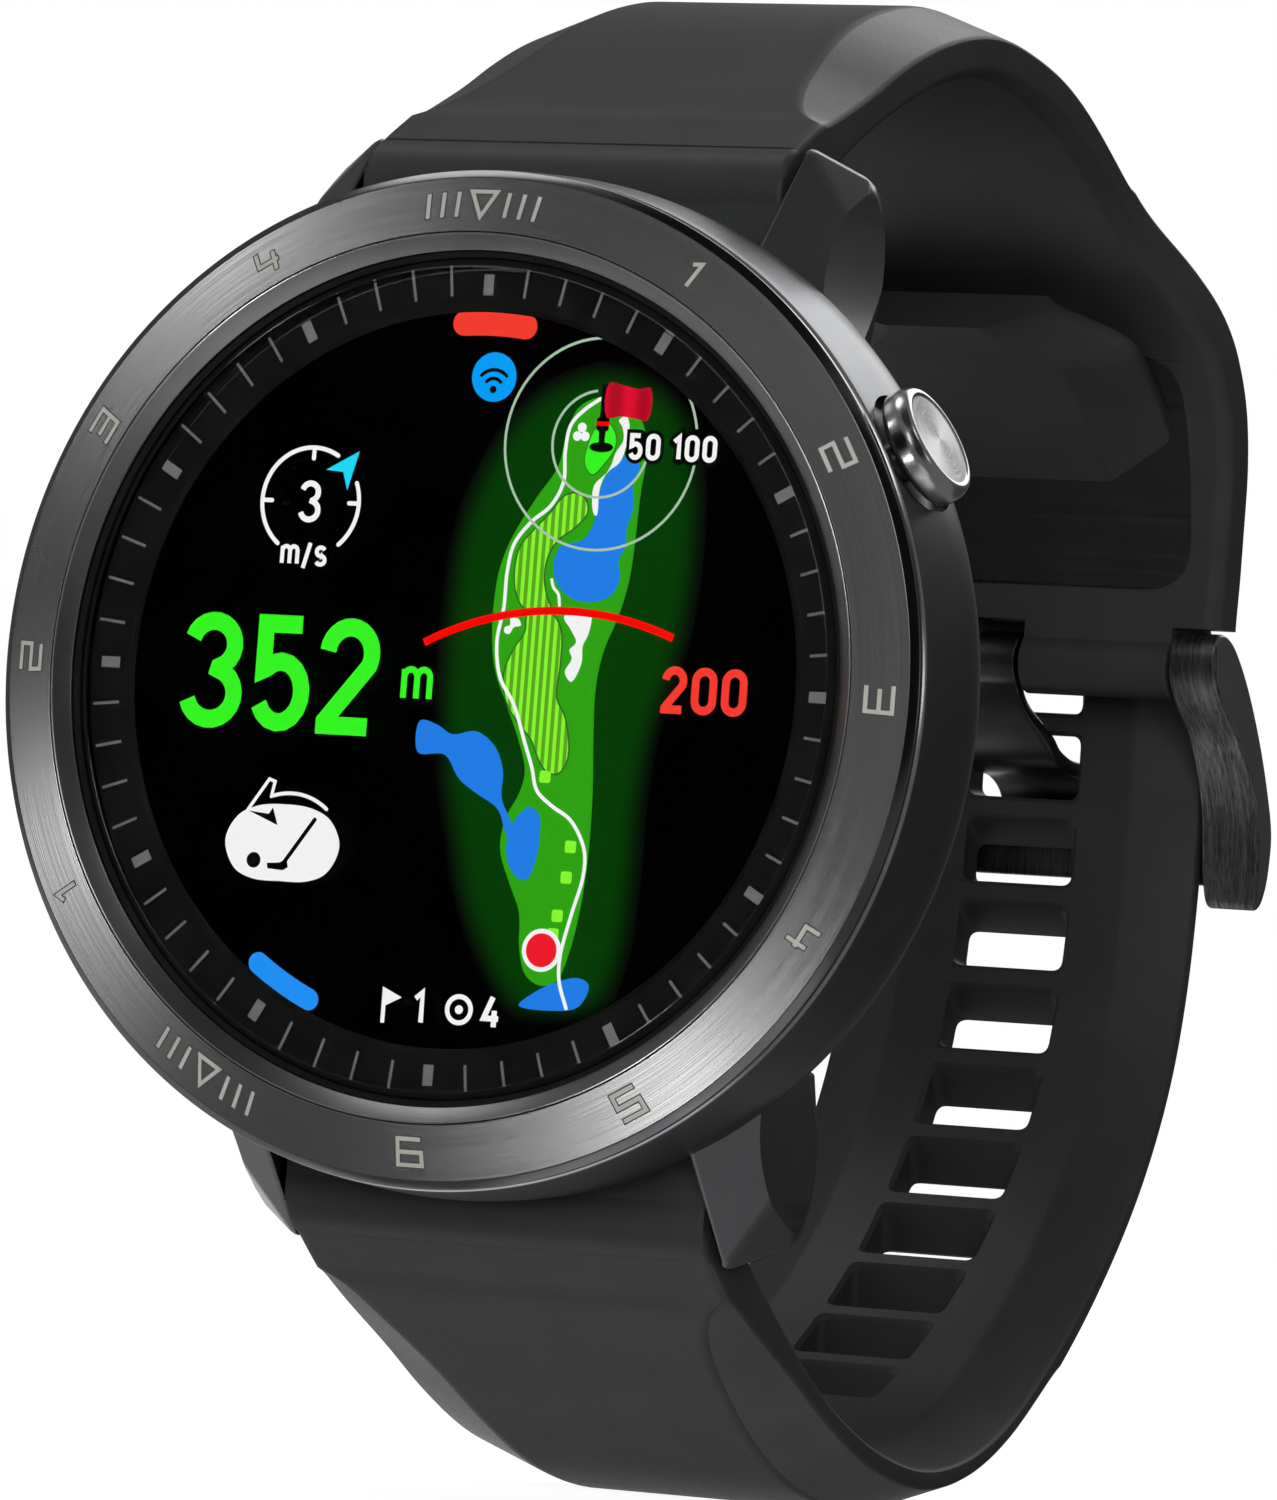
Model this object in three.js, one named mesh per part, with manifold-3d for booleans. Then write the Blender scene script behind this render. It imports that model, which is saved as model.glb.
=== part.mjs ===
// Golf GPS watch with its rubber strap fastened, standing on the strap loop. Millimetres.
// Inside the assembly group, x points to 3 o'clock, y from the display into the wrist and z to
// 12 o'clock, and the display's front surface is the plane y = 0. The group is shifted so that the
// part's origin is the centre of the case back's flat face.
import * as THREE from 'three';
import { ConvexGeometry } from 'three/addons/geometries/ConvexGeometry.js';
import { mergeVertices } from 'three/addons/utils/BufferGeometryUtils.js';
import Module from 'manifold-3d';

const wasm = await Module();
wasm.setup();

// Case and bezel
const RING_SEGMENTS = 60;
const BACK_FACE_Y = 10.6;
const CASE_TOP_Y = -1.07;
const CASE_TOP_R = 23.25;
const CASE_WAIST_R = 23.62;
const CASE_BORE_R = 20.3;
const CASE_BACK_R = 20.9;
const CASE_BACK_Y = 9.6;
const BEZEL_LIP_R = 19.51;
const BEZEL_RIDGE_R = 20.28;
const BEZEL_RIDGE_Y = -2.36;
const GLASS_R = 19.2;
const GLASS_TOP_Y = -1.7;
const GLASS_BOTTOM_Y = -0.4;
const PANEL_R = 19.1;
const ACTIVE_R = 16.82;
const CASE_PROFILE = [
  [CASE_BORE_R, 0.3], [21.8, 0.3], [21.8, CASE_TOP_Y], [CASE_TOP_R, CASE_TOP_Y], [23.4, 0.3],
  [CASE_WAIST_R, 2.9], [23.5, 5.1], [22.1, 6.7], [21.3, 8.4], [CASE_BACK_R, CASE_BACK_Y],
  [CASE_BORE_R, CASE_BACK_Y],
];
const BEZEL_PROFILE = [
  [BEZEL_LIP_R, -1.79], [BEZEL_RIDGE_R, BEZEL_RIDGE_Y], [22.89, -1.62], [23.24, -1.35],
  [CASE_TOP_R, CASE_TOP_Y], [21.5, CASE_TOP_Y], [21.5, 0.0], [BEZEL_LIP_R, 0.0],
];
const GLASS_BEVEL = 0.25;
const GLASS_SEAL_Y = [-1.55, -0.45];
const MINUTE_RING_Y = [-0.25, -0.05];
const PANEL_THICKNESS = 1.4;

// Lugs and the spring bars that carry the strap
const LUG_INNER_X = 11.0;
const LUG_BAR_Y = 8.9;
const LUG_BAR_Z = 23.6;
const LUG_HOLE_R = 0.95;
const LUG_HOLE_END_X = 12.6;
const LUG_CORNERS = [
  [LUG_INNER_X, 3.6, 20.2], [LUG_INNER_X, 8.7, 26.0], [LUG_INNER_X, 11.9, 25.4],
  [LUG_INNER_X, 10.2, 19.2], [16.2, 4.6, 16.6], [15.0, 7.4, 21.0], [13.7, 10.5, 24.6],
  [13.4, 12.1, 24.0], [15.7, 9.4, 15.7], [14.9, 10.6, 20.6],
];
const BAR_R = 0.85;
const BAR_PIVOT_R = 0.55;
const BAR_BODY_HALF = 10.4;
const BAR_PIN_HALF = 12.2;

// Button at the 2 o'clock side, along a radius of the case
const BUTTON_ANGLE = THREE.MathUtils.degToRad(61);
const BUTTON_Y = 2.1;
const BUTTON_R = 2.8;
const BUTTON_FACE = 24.9;
const BUTTON_BACK = 23.45;
const BUTTON_STEM_R = 1.0;
const BUTTON_STEM_END = 19.9;
const BUTTON_RECESS_R = 2.95;
const BUTTON_RECESS_FLOOR = 22.85;
const BUTTON_SEAL_R = 2.0;
const BUTTON_SEAL_FLOOR = 21.3;
const BUTTON_SEAL_INNER_R = 1.3;
const BUTTON_SEAL_HEIGHT = 1.0;
const BUTTON_BORE_R = 1.35;

// Strap halves: points of the inner face, (y, z), from the lug to the free end
const UPPER_PATH = [
  [9.9, 23.2], [15.2, 26.6], [20.0, 29.0], [25.2, 31.0], [30.1, 31.9], [35.0, 31.5], [40.0, 30.2],
  [45.2, 27.9], [49.4, 25.4], [52.6, 23.4], [55.2, 21.3], [57.1, 18.9], [58.3, 16.2], [59.0, 13.4],
  [59.5, 10.6], [59.6, 8.0],
];
const LOWER_PATH = [
  [9.9, -23.2], [14.2, -26.4], [18.8, -29.0], [23.6, -31.2], [28.6, -32.9], [34.0, -33.7],
  [39.4, -33.2], [44.5, -31.6], [49.3, -29.0], [53.8, -25.8], [57.5, -22.2], [60.5, -18.2],
  [62.5, -14.2], [63.6, -10.0], [64.1, -5.0], [64.1, 0.0], [63.9, 4.5], [63.1, 8.4], [61.2, 12.4],
  [58.5, 15.3], [55.4, 17.8], [52.0, 20.0], [48.5, 21.8],
];
const STRAP_LUG_HALF = 10.8;
const STRAP_ROLL_R = 2.2;
const STRAP_BAR_HOLE_R = 1.2;
const SHOULDER = { yLow: 6.8, zLow: 20.0, clearR: 22.6 };
const UPPER_WIDE_HALF = 12.8;
const UPPER_END_HALF = 12.1;
const LOWER_TAIL_HALF = 9.5;
const FACET_WIDTH = 3.6;
const CROWN = 1.3;
const WINDOW = { half: 10.1, low: 10.0, high: 21.5, corner: 2.5, yStart: 50, yEnd: 68 };
const HOLE = { half: 3.05, height: 3.3, pitch: 4.4, count: 11, firstZ: 5.2, inner: -2, outer: 2.6 };
const HOLE_CEILING_SLOPE = 0.7;
const HOLE_IN_USE = 1;
const PRONG_NOTCH = { half: 1.45, yLow: 55, yHigh: 66, zLow: 3, zHigh: 8.1 };

// Buckle
const BUCKLE_BAR_Y = 60.7;
const BUCKLE_BAR_Z = 6.0;
const BUCKLE_BAR_R = 0.7;
const BUCKLE_EYE_R = 1.05;
const BUCKLE_TUBE_R = 1.6;
const TUBE_OUTER_X = 9.6;
const STRAP_WEB = { yLow: 59.6, yHigh: 62.1, top: 8.4 };
const BUCKLE_BAR_HALF = 11.5;
const BUCKLE_BORE_HALF = 11.8;
const ARM_INNER_X = 9.95;
const ARM_OUTER_X = 12.4;
const ARM_OUTLINE = [
  [59.2, 7.7], [60.8, 7.6], [62.8, 6.2], [65.2, 3.5], [67.1, 0.6], [68.2, -1.8], [68.0, -3.4],
  [67.0, -4.8], [65.5, -5.7], [64.6, -5.2], [64.8, -3.0], [64.2, -0.6], [62.2, 2.1], [59.5, 4.3],
  [58.7, 5.4], [58.6, 7.0],
];
const CROSSBAR_OUTLINE = [
  [66.45, -2.2], [67.4, -1.5], [68.1, -1.9], [68.0, -3.4], [67.2, -4.5], [66.45, -4.8],
];
const PRONG_PATH = [
  [60.3, 4.9], [60.6, 3.2], [61.9, 1.6], [63.8, 0.9], [65.9, 0.7], [67.6, -0.1], [68.6, -1.6],
  [69.0, -3.3],
];
const PRONG_EYE_HALF = 1.15;
const PRONG_WIDE_HALF = 2.7;
const PRONG_THICKNESS = 0.9;
const PRONG_EYE_R = 1.5;

// Inside the case
const CHASSIS_R = 19.6;
const SWITCH_NOTCH = { width: 5.2, depth: 5.4, tall: 4, radius: 19.9 };
const SWITCH = { width: 3.2, depth: 1.4, tall: 1.2, radius: 18.3 };
const SWITCH_SHIFT_Y = 0.3;
const CHASSIS_Y = [1.6, 2.4];
const BOARD_R = 15.2;
const BOARD_Y = [2.8, 3.6];
const BATTERY_BOX = [-12, 12, 4.0, 8.2, -9.5, 9.5];
const ANTENNA_BOX = [-4, 4, 3.8, 6.2, 10.0, 14.0];
const MOTOR_R = 4.0;
const MOTOR_Y = [3.8, 6.4];
const MOTOR_Z = -13.9;
const BACK_PROFILE = [
  [0, BACK_FACE_Y], [14.5, BACK_FACE_Y], [15.3, 10.2], [20.3, 10.2], [CASE_BACK_R, CASE_BACK_Y],
  [19.0, CASE_BACK_Y], [19.0, 8.7], [18.9, 8.7], [18.9, 9.3], [0, 9.3],
];
const BACK_SEAL = { inner: 19.3, outer: 20.0, low: 8.9 };
const SCREW_CIRCLE_R = 17.3;
const SCREW_HEAD_R = 1.2;
const SCREW_SHANK_R = 0.65;
const SCREW_HEAD_Y = [9.75, 10.15];
const SCREW_SHANK_Y = [6.6, 9.9];
const SCREW_SLOT = { half: 0.9, halfWidth: 0.15, low: 10.0, high: 10.4 };
const SCREW_POST_R = 1.8;
const SCREW_POST_Y = [2.2, 8.4];
const SCREW_POST_BORE_Y = [3.4, 9];
const CHARGE_PAD_PITCH = 3.0;
const CHARGE_PAD_Z = -8.0;
const CHARGE_PAD_R = 0.95;
const CHARGE_PAD_Y = [8.6, 10.5];

const finishes = {
  caseMetal: { color: 0x43454a, roughness: 0.45, metalness: 0.7 },
  brushed: { color: 0x8a8c90, roughness: 0.3, metalness: 1.0 },
  polished: { color: 0xc9cbd0, roughness: 0.18, metalness: 1.0 },
  gunmetal: { color: 0x55585c, roughness: 0.35, metalness: 0.9 },
  rubber: { color: 0x1c1d1f, roughness: 0.6, metalness: 0.0 },
  seal: { color: 0x0c0c0c, roughness: 0.8, metalness: 0.0 },
  glass: { color: 0x101214, roughness: 0.03, metalness: 0.0 },
  panel: { color: 0x050505, roughness: 0.3, metalness: 0.0 },
  plastic: { color: 0x202225, roughness: 0.5, metalness: 0.0 },
  board: { color: 0x14532d, roughness: 0.5, metalness: 0.1 },
  battery: { color: 0xb9bcc0, roughness: 0.5, metalness: 0.3 },
  ceramic: { color: 0xcfc7b0, roughness: 0.6, metalness: 0.0 },
  contact: { color: 0xc9a24a, roughness: 0.25, metalness: 1.0 },
};

const assembly = new THREE.Group();
assembly.position.y = -BACK_FACE_Y;
const watch = new THREE.Group();
watch.add(assembly);

// ---- solids ----

function signedVolume(geometry) {
  const p = geometry.attributes.position;
  const index = geometry.index.array;
  const a = new THREE.Vector3();
  const b = new THREE.Vector3();
  const c = new THREE.Vector3();
  let sum = 0;
  for (let i = 0; i < index.length; i += 3) {
    a.fromBufferAttribute(p, index[i]);
    b.fromBufferAttribute(p, index[i + 1]);
    c.fromBufferAttribute(p, index[i + 2]);
    sum += a.dot(b.cross(c));
  }
  return sum / 6;
}

function solid(geometry) {
  const bare = geometry.clone();
  for (const name of Object.keys(bare.attributes)) {
    if (name !== 'position') bare.deleteAttribute(name);
  }
  const merged = mergeVertices(bare, 1e-4);
  const tris = Uint32Array.from(merged.index.array);
  if (signedVolume(merged) < 0) {
    for (let i = 0; i < tris.length; i += 3) {
      [tris[i + 1], tris[i + 2]] = [tris[i + 2], tris[i + 1]];
    }
  }
  const mesh = { numProp: 3, vertProperties: Float32Array.from(merged.attributes.position.array) };
  return new wasm.Manifold(new wasm.Mesh({ ...mesh, triVerts: tris }));
}

function add(name, manifold, finish) {
  const out = manifold.getMesh();
  const geometry = new THREE.BufferGeometry();
  geometry.setAttribute('position', new THREE.BufferAttribute(out.vertProperties, 3));
  geometry.setIndex(new THREE.BufferAttribute(out.triVerts, 1));
  geometry.computeVertexNormals();
  const mesh = new THREE.Mesh(geometry, new THREE.MeshStandardMaterial(finish));
  mesh.name = name;
  assembly.add(mesh);
  return mesh;
}

// A closed profile of [radius, y] turned round the y axis.
function turned(profile, segments = RING_SEGMENTS) {
  const points = profile.map(([r, y]) => new THREE.Vector2(r, y));
  points.push(points[0].clone());
  return solid(new THREE.LatheGeometry(points, segments));
}

// A disc or plug standing on the y axis, moved to (x, z).
function disc(radius, yLow, yHigh, x = 0, z = 0, segments = 24) {
  const geometry = new THREE.CylinderGeometry(radius, radius, yHigh - yLow, segments);
  geometry.translate(x, (yLow + yHigh) / 2, z);
  return solid(geometry);
}

function ringAt(inner, outer, yLow, yHigh, segments = RING_SEGMENTS) {
  return turned([[inner, yLow], [outer, yLow], [outer, yHigh], [inner, yHigh]], segments);
}

function box(x0, x1, y0, y1, z0, z1) {
  const geometry = new THREE.BoxGeometry(x1 - x0, y1 - y0, z1 - z0);
  geometry.translate((x0 + x1) / 2, (y0 + y1) / 2, (z0 + z1) / 2);
  return solid(geometry);
}

// A rod along x, between x0 and x1, centred on (y, z).
function rodX(radius, x0, x1, y, z, segments = 24) {
  const geometry = new THREE.CylinderGeometry(radius, radius, x1 - x0, segments);
  geometry.rotateZ(Math.PI / 2);
  geometry.translate((x0 + x1) / 2, y, z);
  return solid(geometry);
}

// A (y, z) outline extruded along x.
function plateX(outline, x0, x1) {
  const shape = new THREE.Shape(outline.map(([y, z]) => new THREE.Vector2(y, z)));
  const geometry = new THREE.ExtrudeGeometry(shape, { depth: x1 - x0, bevelEnabled: false });
  const basis = new THREE.Matrix4().makeBasis(
    new THREE.Vector3(0, 1, 0), new THREE.Vector3(0, 0, 1), new THREE.Vector3(1, 0, 0));
  geometry.applyMatrix4(basis);
  geometry.translate(x0, 0, 0);
  return solid(geometry);
}

// A profile of [radius, distance] turned round the button's own axis.
function alongButton(profile, segments = 36) {
  const points = profile.map(([r, d]) => new THREE.Vector2(r, d));
  points.push(points[0].clone());
  const geometry = new THREE.LatheGeometry(points, segments);
  geometry.rotateZ(-Math.PI / 2);
  geometry.rotateY(BUTTON_ANGLE - Math.PI / 2);
  geometry.translate(0, BUTTON_Y, 0);
  return solid(geometry);
}

function bore(radius, from, to) {
  return alongButton([[0, from], [radius, from], [radius, to], [0, to]]);
}

function pathCurve(path) {
  const points = path.map(([y, z]) => new THREE.Vector3(0, y, z));
  return new THREE.CatmullRomCurve3(points, false, 'centripetal');
}

// A slab that follows a path in the y-z plane. side is +1 where "outward" is to the left of the
// path and -1 where it is to the right; sectionAt(u) gives [x, height] points round one section.
function sweep(path, steps, side, sectionAt) {
  const curve = pathCurve(path);
  const positions = [];
  const index = [];
  let count = 0;
  for (let i = 0; i <= steps; i++) {
    const u = i / steps;
    const at = curve.getPointAt(u);
    const t = curve.getTangentAt(u);
    const section = sectionAt(u, at);
    count = section.length;
    for (const [x, h] of section) {
      positions.push(x, at.y - side * t.z * h, at.z + side * t.y * h);
    }
  }
  for (let i = 0; i < steps; i++) {
    for (let k = 0; k < count; k++) {
      const a = i * count + k;
      const b = i * count + ((k + 1) % count);
      index.push(a, b, a + count, b, b + count, a + count);
    }
  }
  const last = steps * count;
  for (let k = 1; k < count - 1; k++) {
    index.push(0, k + 1, k);
    index.push(last, last + k, last + k + 1);
  }
  const geometry = new THREE.BufferGeometry();
  geometry.setAttribute('position', new THREE.Float32BufferAttribute(positions, 3));
  geometry.setIndex(index);
  return solid(geometry);
}

const smooth = (x, a, b) => THREE.MathUtils.smoothstep(x, a, b);

// ---- case ----

function lug(sx, sz) {
  const corners = LUG_CORNERS.map(([x, y, z]) => new THREE.Vector3(sx * x, y, sz * z));
  return solid(new ConvexGeometry(corners));
}

function caseMiddle() {
  let body = turned(CASE_PROFILE);
  for (const sx of [-1, 1]) {
    for (const sz of [-1, 1]) {
      body = body.add(lug(sx, sz));
      const from = sx > 0 ? LUG_INNER_X - 0.5 : -LUG_HOLE_END_X;
      const to = sx > 0 ? LUG_HOLE_END_X : -LUG_INNER_X + 0.5;
      body = body.subtract(rodX(LUG_HOLE_R, from, to, LUG_BAR_Y, sz * LUG_BAR_Z));
    }
  }
  const past = BUTTON_FACE + 2;
  body = body.subtract(bore(BUTTON_RECESS_R, BUTTON_RECESS_FLOOR, past));
  body = body.subtract(bore(BUTTON_SEAL_R + 0.1, BUTTON_SEAL_FLOOR, past));
  return body.subtract(bore(BUTTON_BORE_R, BUTTON_STEM_END - 1, past));
}

add('case_middle', caseMiddle(), finishes.caseMetal);

add('bezel', turned(BEZEL_PROFILE), finishes.brushed);

add('cover_glass', turned([
  [0, GLASS_TOP_Y], [GLASS_R - GLASS_BEVEL, GLASS_TOP_Y], [GLASS_R, GLASS_TOP_Y + GLASS_BEVEL],
  [GLASS_R, GLASS_BOTTOM_Y], [0, GLASS_BOTTOM_Y],
]), finishes.glass);
add('glass_seal', ringAt(GLASS_R, BEZEL_LIP_R, ...GLASS_SEAL_Y), finishes.seal);
add('minute_ring', ringAt(ACTIVE_R, PANEL_R, ...MINUTE_RING_Y), finishes.panel);
add('display_panel', disc(PANEL_R, 0, PANEL_THICKNESS, 0, 0, RING_SEGMENTS), finishes.panel);

// ---- inside ----

function onScrewCircle(k) {
  const angle = Math.PI / 4 + (k * Math.PI) / 2;
  return [SCREW_CIRCLE_R * Math.cos(angle), SCREW_CIRCLE_R * Math.sin(angle)];
}

// A box square to the button's axis, at a radius of the case.
function behindButton({ width, depth, tall, radius }) {
  const geometry = new THREE.BoxGeometry(width, tall, depth);
  geometry.rotateY(BUTTON_ANGLE);
  geometry.translate(radius * Math.sin(BUTTON_ANGLE), BUTTON_Y, radius * Math.cos(BUTTON_ANGLE));
  return solid(geometry);
}

function chassis() {
  let body = disc(CHASSIS_R, ...CHASSIS_Y, 0, 0, RING_SEGMENTS).subtract(behindButton(SWITCH_NOTCH));
  for (let k = 0; k < 4; k++) {
    const [x, z] = onScrewCircle(k);
    body = body.add(disc(SCREW_POST_R, ...SCREW_POST_Y, x, z));
    body = body.subtract(disc(SCREW_SHANK_R + 0.3, ...SCREW_POST_BORE_Y, x, z));
  }
  return body;
}

add('chassis', chassis(), finishes.plastic);
add('tact_switch', behindButton(SWITCH).translate([0, SWITCH_SHIFT_Y, 0]), finishes.contact);
add('main_board', disc(BOARD_R, ...BOARD_Y, 0, 0, 48), finishes.board);
add('battery', box(...BATTERY_BOX), finishes.battery);
add('gps_antenna', box(...ANTENNA_BOX), finishes.ceramic);
add('vibration_motor', disc(MOTOR_R, ...MOTOR_Y, 0, MOTOR_Z), finishes.gunmetal);

// ---- back ----

const chargePads = [-1.5, -0.5, 0.5, 1.5].map((k) => k * CHARGE_PAD_PITCH);

function backCover() {
  const past = BACK_FACE_Y + 0.4;
  let body = turned(BACK_PROFILE);
  for (let k = 0; k < 4; k++) {
    const [x, z] = onScrewCircle(k);
    body = body.subtract(disc(SCREW_HEAD_R + 0.3, SCREW_HEAD_Y[0], past, x, z));
    body = body.subtract(disc(SCREW_SHANK_R + 0.35, 9, past, x, z));
  }
  for (const x of chargePads) {
    body = body.subtract(disc(CHARGE_PAD_R + 0.25, 9, past, x, CHARGE_PAD_Z));
  }
  return body;
}

add('back_cover', backCover(), finishes.gunmetal);
add('back_seal', ringAt(BACK_SEAL.inner, BACK_SEAL.outer, BACK_SEAL.low, CASE_BACK_Y), finishes.seal);
for (let k = 0; k < 4; k++) {
  const [x, z] = onScrewCircle(k);
  const shank = disc(SCREW_SHANK_R, ...SCREW_SHANK_Y, x, z, 16);
  const screw = disc(SCREW_HEAD_R, ...SCREW_HEAD_Y, x, z).add(shank);
  const { half, halfWidth, low, high } = SCREW_SLOT;
  const slot = box(x - half, x + half, low, high, z - halfWidth, z + halfWidth);
  add(`back_screw_${k + 1}`, screw.subtract(slot), finishes.polished);
}
chargePads.forEach((x, k) => {
  add(`charge_pad_${k + 1}`, disc(CHARGE_PAD_R, ...CHARGE_PAD_Y, x, CHARGE_PAD_Z, 20), finishes.contact);
});

// ---- button ----

add('button', alongButton([
  [0, BUTTON_STEM_END], [BUTTON_STEM_R, BUTTON_STEM_END], [BUTTON_STEM_R, BUTTON_BACK],
  [BUTTON_R - 0.15, BUTTON_BACK], [BUTTON_R, BUTTON_BACK + 0.2], [BUTTON_R, BUTTON_FACE - 0.35],
  [BUTTON_R - 0.25, BUTTON_FACE], [0, BUTTON_FACE],
]), finishes.polished);
const sealLow = BUTTON_SEAL_FLOOR + 0.1;
const sealHigh = sealLow + BUTTON_SEAL_HEIGHT;
add('button_seal', alongButton([
  [BUTTON_SEAL_INNER_R, sealLow], [BUTTON_SEAL_R, sealLow], [BUTTON_SEAL_R, sealHigh],
  [BUTTON_SEAL_INNER_R, sealHigh],
]), finishes.seal);

// ---- strap ----

// Half of a section: inner bevel, side wall, sloping facet and crowned middle, mirrored in x.
function strapSection(half, edge, crown, facet) {
  const bevel = 0.6;
  const right = [[half - bevel, 0], [half, bevel * 0.7], [half, edge], [half - facet, edge + crown]];
  const left = right.map(([x, h]) => [-x, h]).reverse();
  return [...right, ...left];
}

function lensShape(u, from, to) {
  const v = THREE.MathUtils.clamp((u - from) / (to - from), 0, 1);
  return Math.sin(Math.PI * v) ** 0.8;
}

function upperSection(u) {
  const flare = smooth(u, 0.6, 0.8);
  const taper = smooth(u, 0.82, 1.0);
  const half = STRAP_LUG_HALF + (UPPER_WIDE_HALF - STRAP_LUG_HALF) * flare
    - (UPPER_WIDE_HALF - UPPER_END_HALF) * taper;
  const lens = lensShape(u, 0.05, 0.62);
  const edge = 2.9 - 0.9 * smooth(u, 0.0, 0.15) + 0.5 * smooth(u, 0.6, 0.85);
  return strapSection(half, edge, 0.15 + CROWN * lens, 0.35 + FACET_WIDTH * lens);
}

function lowerSection(u) {
  const tip = smooth(u, 0.955, 1.0);
  const half = STRAP_LUG_HALF - (STRAP_LUG_HALF - LOWER_TAIL_HALF) * smooth(u, 0.2, 0.5) - 3.4 * tip ** 1.5;
  const lens = lensShape(u, 0.03, 0.42);
  const edge = 2.9 - 0.9 * smooth(u, 0.0, 0.12) - 0.1 * smooth(u, 0.4, 0.6);
  return strapSection(half, edge, 0.15 + CROWN * lens, 0.35 + FACET_WIDTH * lens);
}

function strapRoll(sz) {
  return rodX(STRAP_ROLL_R, -STRAP_LUG_HALF, STRAP_LUG_HALF, LUG_BAR_Y, sz * LUG_BAR_Z, 32);
}

// Fills the corners between the case's round side and the roll.
function strapShoulder(sz) {
  const { yLow, zLow, clearR } = SHOULDER;
  const z = [sz * zLow, sz * LUG_BAR_Z].sort((a, b) => a - b);
  const block = box(-STRAP_LUG_HALF, STRAP_LUG_HALF, yLow, LUG_BAR_Y, ...z);
  return block.subtract(disc(clearR, yLow - 1, LUG_BAR_Y + 1, 0, 0, RING_SEGMENTS));
}

function strapBarHole(sz) {
  return rodX(STRAP_BAR_HOLE_R, -STRAP_LUG_HALF - 1, STRAP_LUG_HALF + 1, LUG_BAR_Y, sz * LUG_BAR_Z);
}

// The window: a rounded rectangle in x and z, cut right through along y.
function windowCut() {
  const { half, low, high, corner, yStart, yEnd } = WINDOW;
  const shape = new THREE.Shape();
  shape.moveTo(-half + corner, low);
  shape.lineTo(half - corner, low);
  shape.absarc(half - corner, low + corner, corner, -Math.PI / 2, 0);
  shape.absarc(half - corner, high - corner, corner, 0, Math.PI / 2);
  shape.absarc(-half + corner, high - corner, corner, Math.PI / 2, Math.PI);
  shape.absarc(-half + corner, low + corner, corner, Math.PI, 1.5 * Math.PI);
  const depth = yEnd - yStart;
  const geometry = new THREE.ExtrudeGeometry(shape, { depth, bevelEnabled: false, curveSegments: 5 });
  const basis = new THREE.Matrix4().makeBasis(
    new THREE.Vector3(1, 0, 0), new THREE.Vector3(0, 0, 1), new THREE.Vector3(0, -1, 0));
  geometry.applyMatrix4(basis);
  geometry.translate(0, yEnd, 0);
  return solid(geometry);
}

function upperStrap() {
  let body = sweep(UPPER_PATH, 44, 1, upperSection).add(strapRoll(1)).add(strapShoulder(1));
  body = body.add(rodX(BUCKLE_TUBE_R, -TUBE_OUTER_X, TUBE_OUTER_X, BUCKLE_BAR_Y, BUCKLE_BAR_Z));
  const { yLow: webLow, yHigh: webHigh, top } = STRAP_WEB;
  body = body.add(box(-TUBE_OUTER_X, TUBE_OUTER_X, webLow, webHigh, BUCKLE_BAR_Z, top));
  body = body.subtract(windowCut()).subtract(strapBarHole(1));
  body = body.subtract(rodX(BUCKLE_EYE_R, -ARM_OUTER_X, ARM_OUTER_X, BUCKLE_BAR_Y, BUCKLE_BAR_Z));
  const { half, yLow, yHigh, zLow, zHigh } = PRONG_NOTCH;
  return body.subtract(box(-half, half, yLow, yHigh, zLow, zHigh));
}

// A plug whose ceiling slopes down towards the strap's outer face; the hole the prong uses is straight.
function holeCutter(index) {
  const slope = index === HOLE_IN_USE ? 0 : HOLE_CEILING_SLOPE;
  const geometry = new THREE.BoxGeometry(2 * HOLE.half, HOLE.outer - HOLE.inner, HOLE.height);
  geometry.translate(0, (HOLE.outer + HOLE.inner) / 2, 0);
  const points = geometry.attributes.position;
  for (let i = 0; i < points.count; i++) {
    if (points.getZ(i) > 0) {
      points.setZ(i, points.getZ(i) - slope * points.getY(i));
    }
  }
  return geometry;
}

// The adjusting holes: slots across the strap, each square to the path where it lies.
function strapHoles() {
  const curve = pathCurve(LOWER_PATH);
  const length = curve.getLength();
  let first = 0.5;
  while (curve.getPointAt(first).z < HOLE.firstZ) first += 0.001;
  const holes = [];
  for (let k = 0; k < HOLE.count; k++) {
    const u = first - (k * HOLE.pitch) / length;
    const at = curve.getPointAt(u);
    const t = curve.getTangentAt(u);
    const geometry = holeCutter(k);
    geometry.rotateX(-Math.atan2(t.y, t.z));
    geometry.translate(0, at.y, at.z);
    holes.push(solid(geometry));
  }
  return holes;
}

function lowerStrap() {
  let body = sweep(LOWER_PATH, 60, -1, lowerSection).add(strapRoll(-1)).add(strapShoulder(-1));
  body = body.subtract(strapBarHole(-1));
  for (const hole of strapHoles()) {
    body = body.subtract(hole);
  }
  return body;
}

add('strap_upper', upperStrap(), finishes.rubber);
add('strap_lower', lowerStrap(), finishes.rubber);

function springBar(sz) {
  const tube = rodX(BAR_R, -BAR_BODY_HALF, BAR_BODY_HALF, LUG_BAR_Y, sz * LUG_BAR_Z, 20);
  return tube.add(rodX(BAR_PIVOT_R, -BAR_PIN_HALF, BAR_PIN_HALF, LUG_BAR_Y, sz * LUG_BAR_Z, 16));
}

add('spring_bar_upper', springBar(1), finishes.polished);
add('spring_bar_lower', springBar(-1), finishes.polished);

// ---- buckle ----

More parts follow.
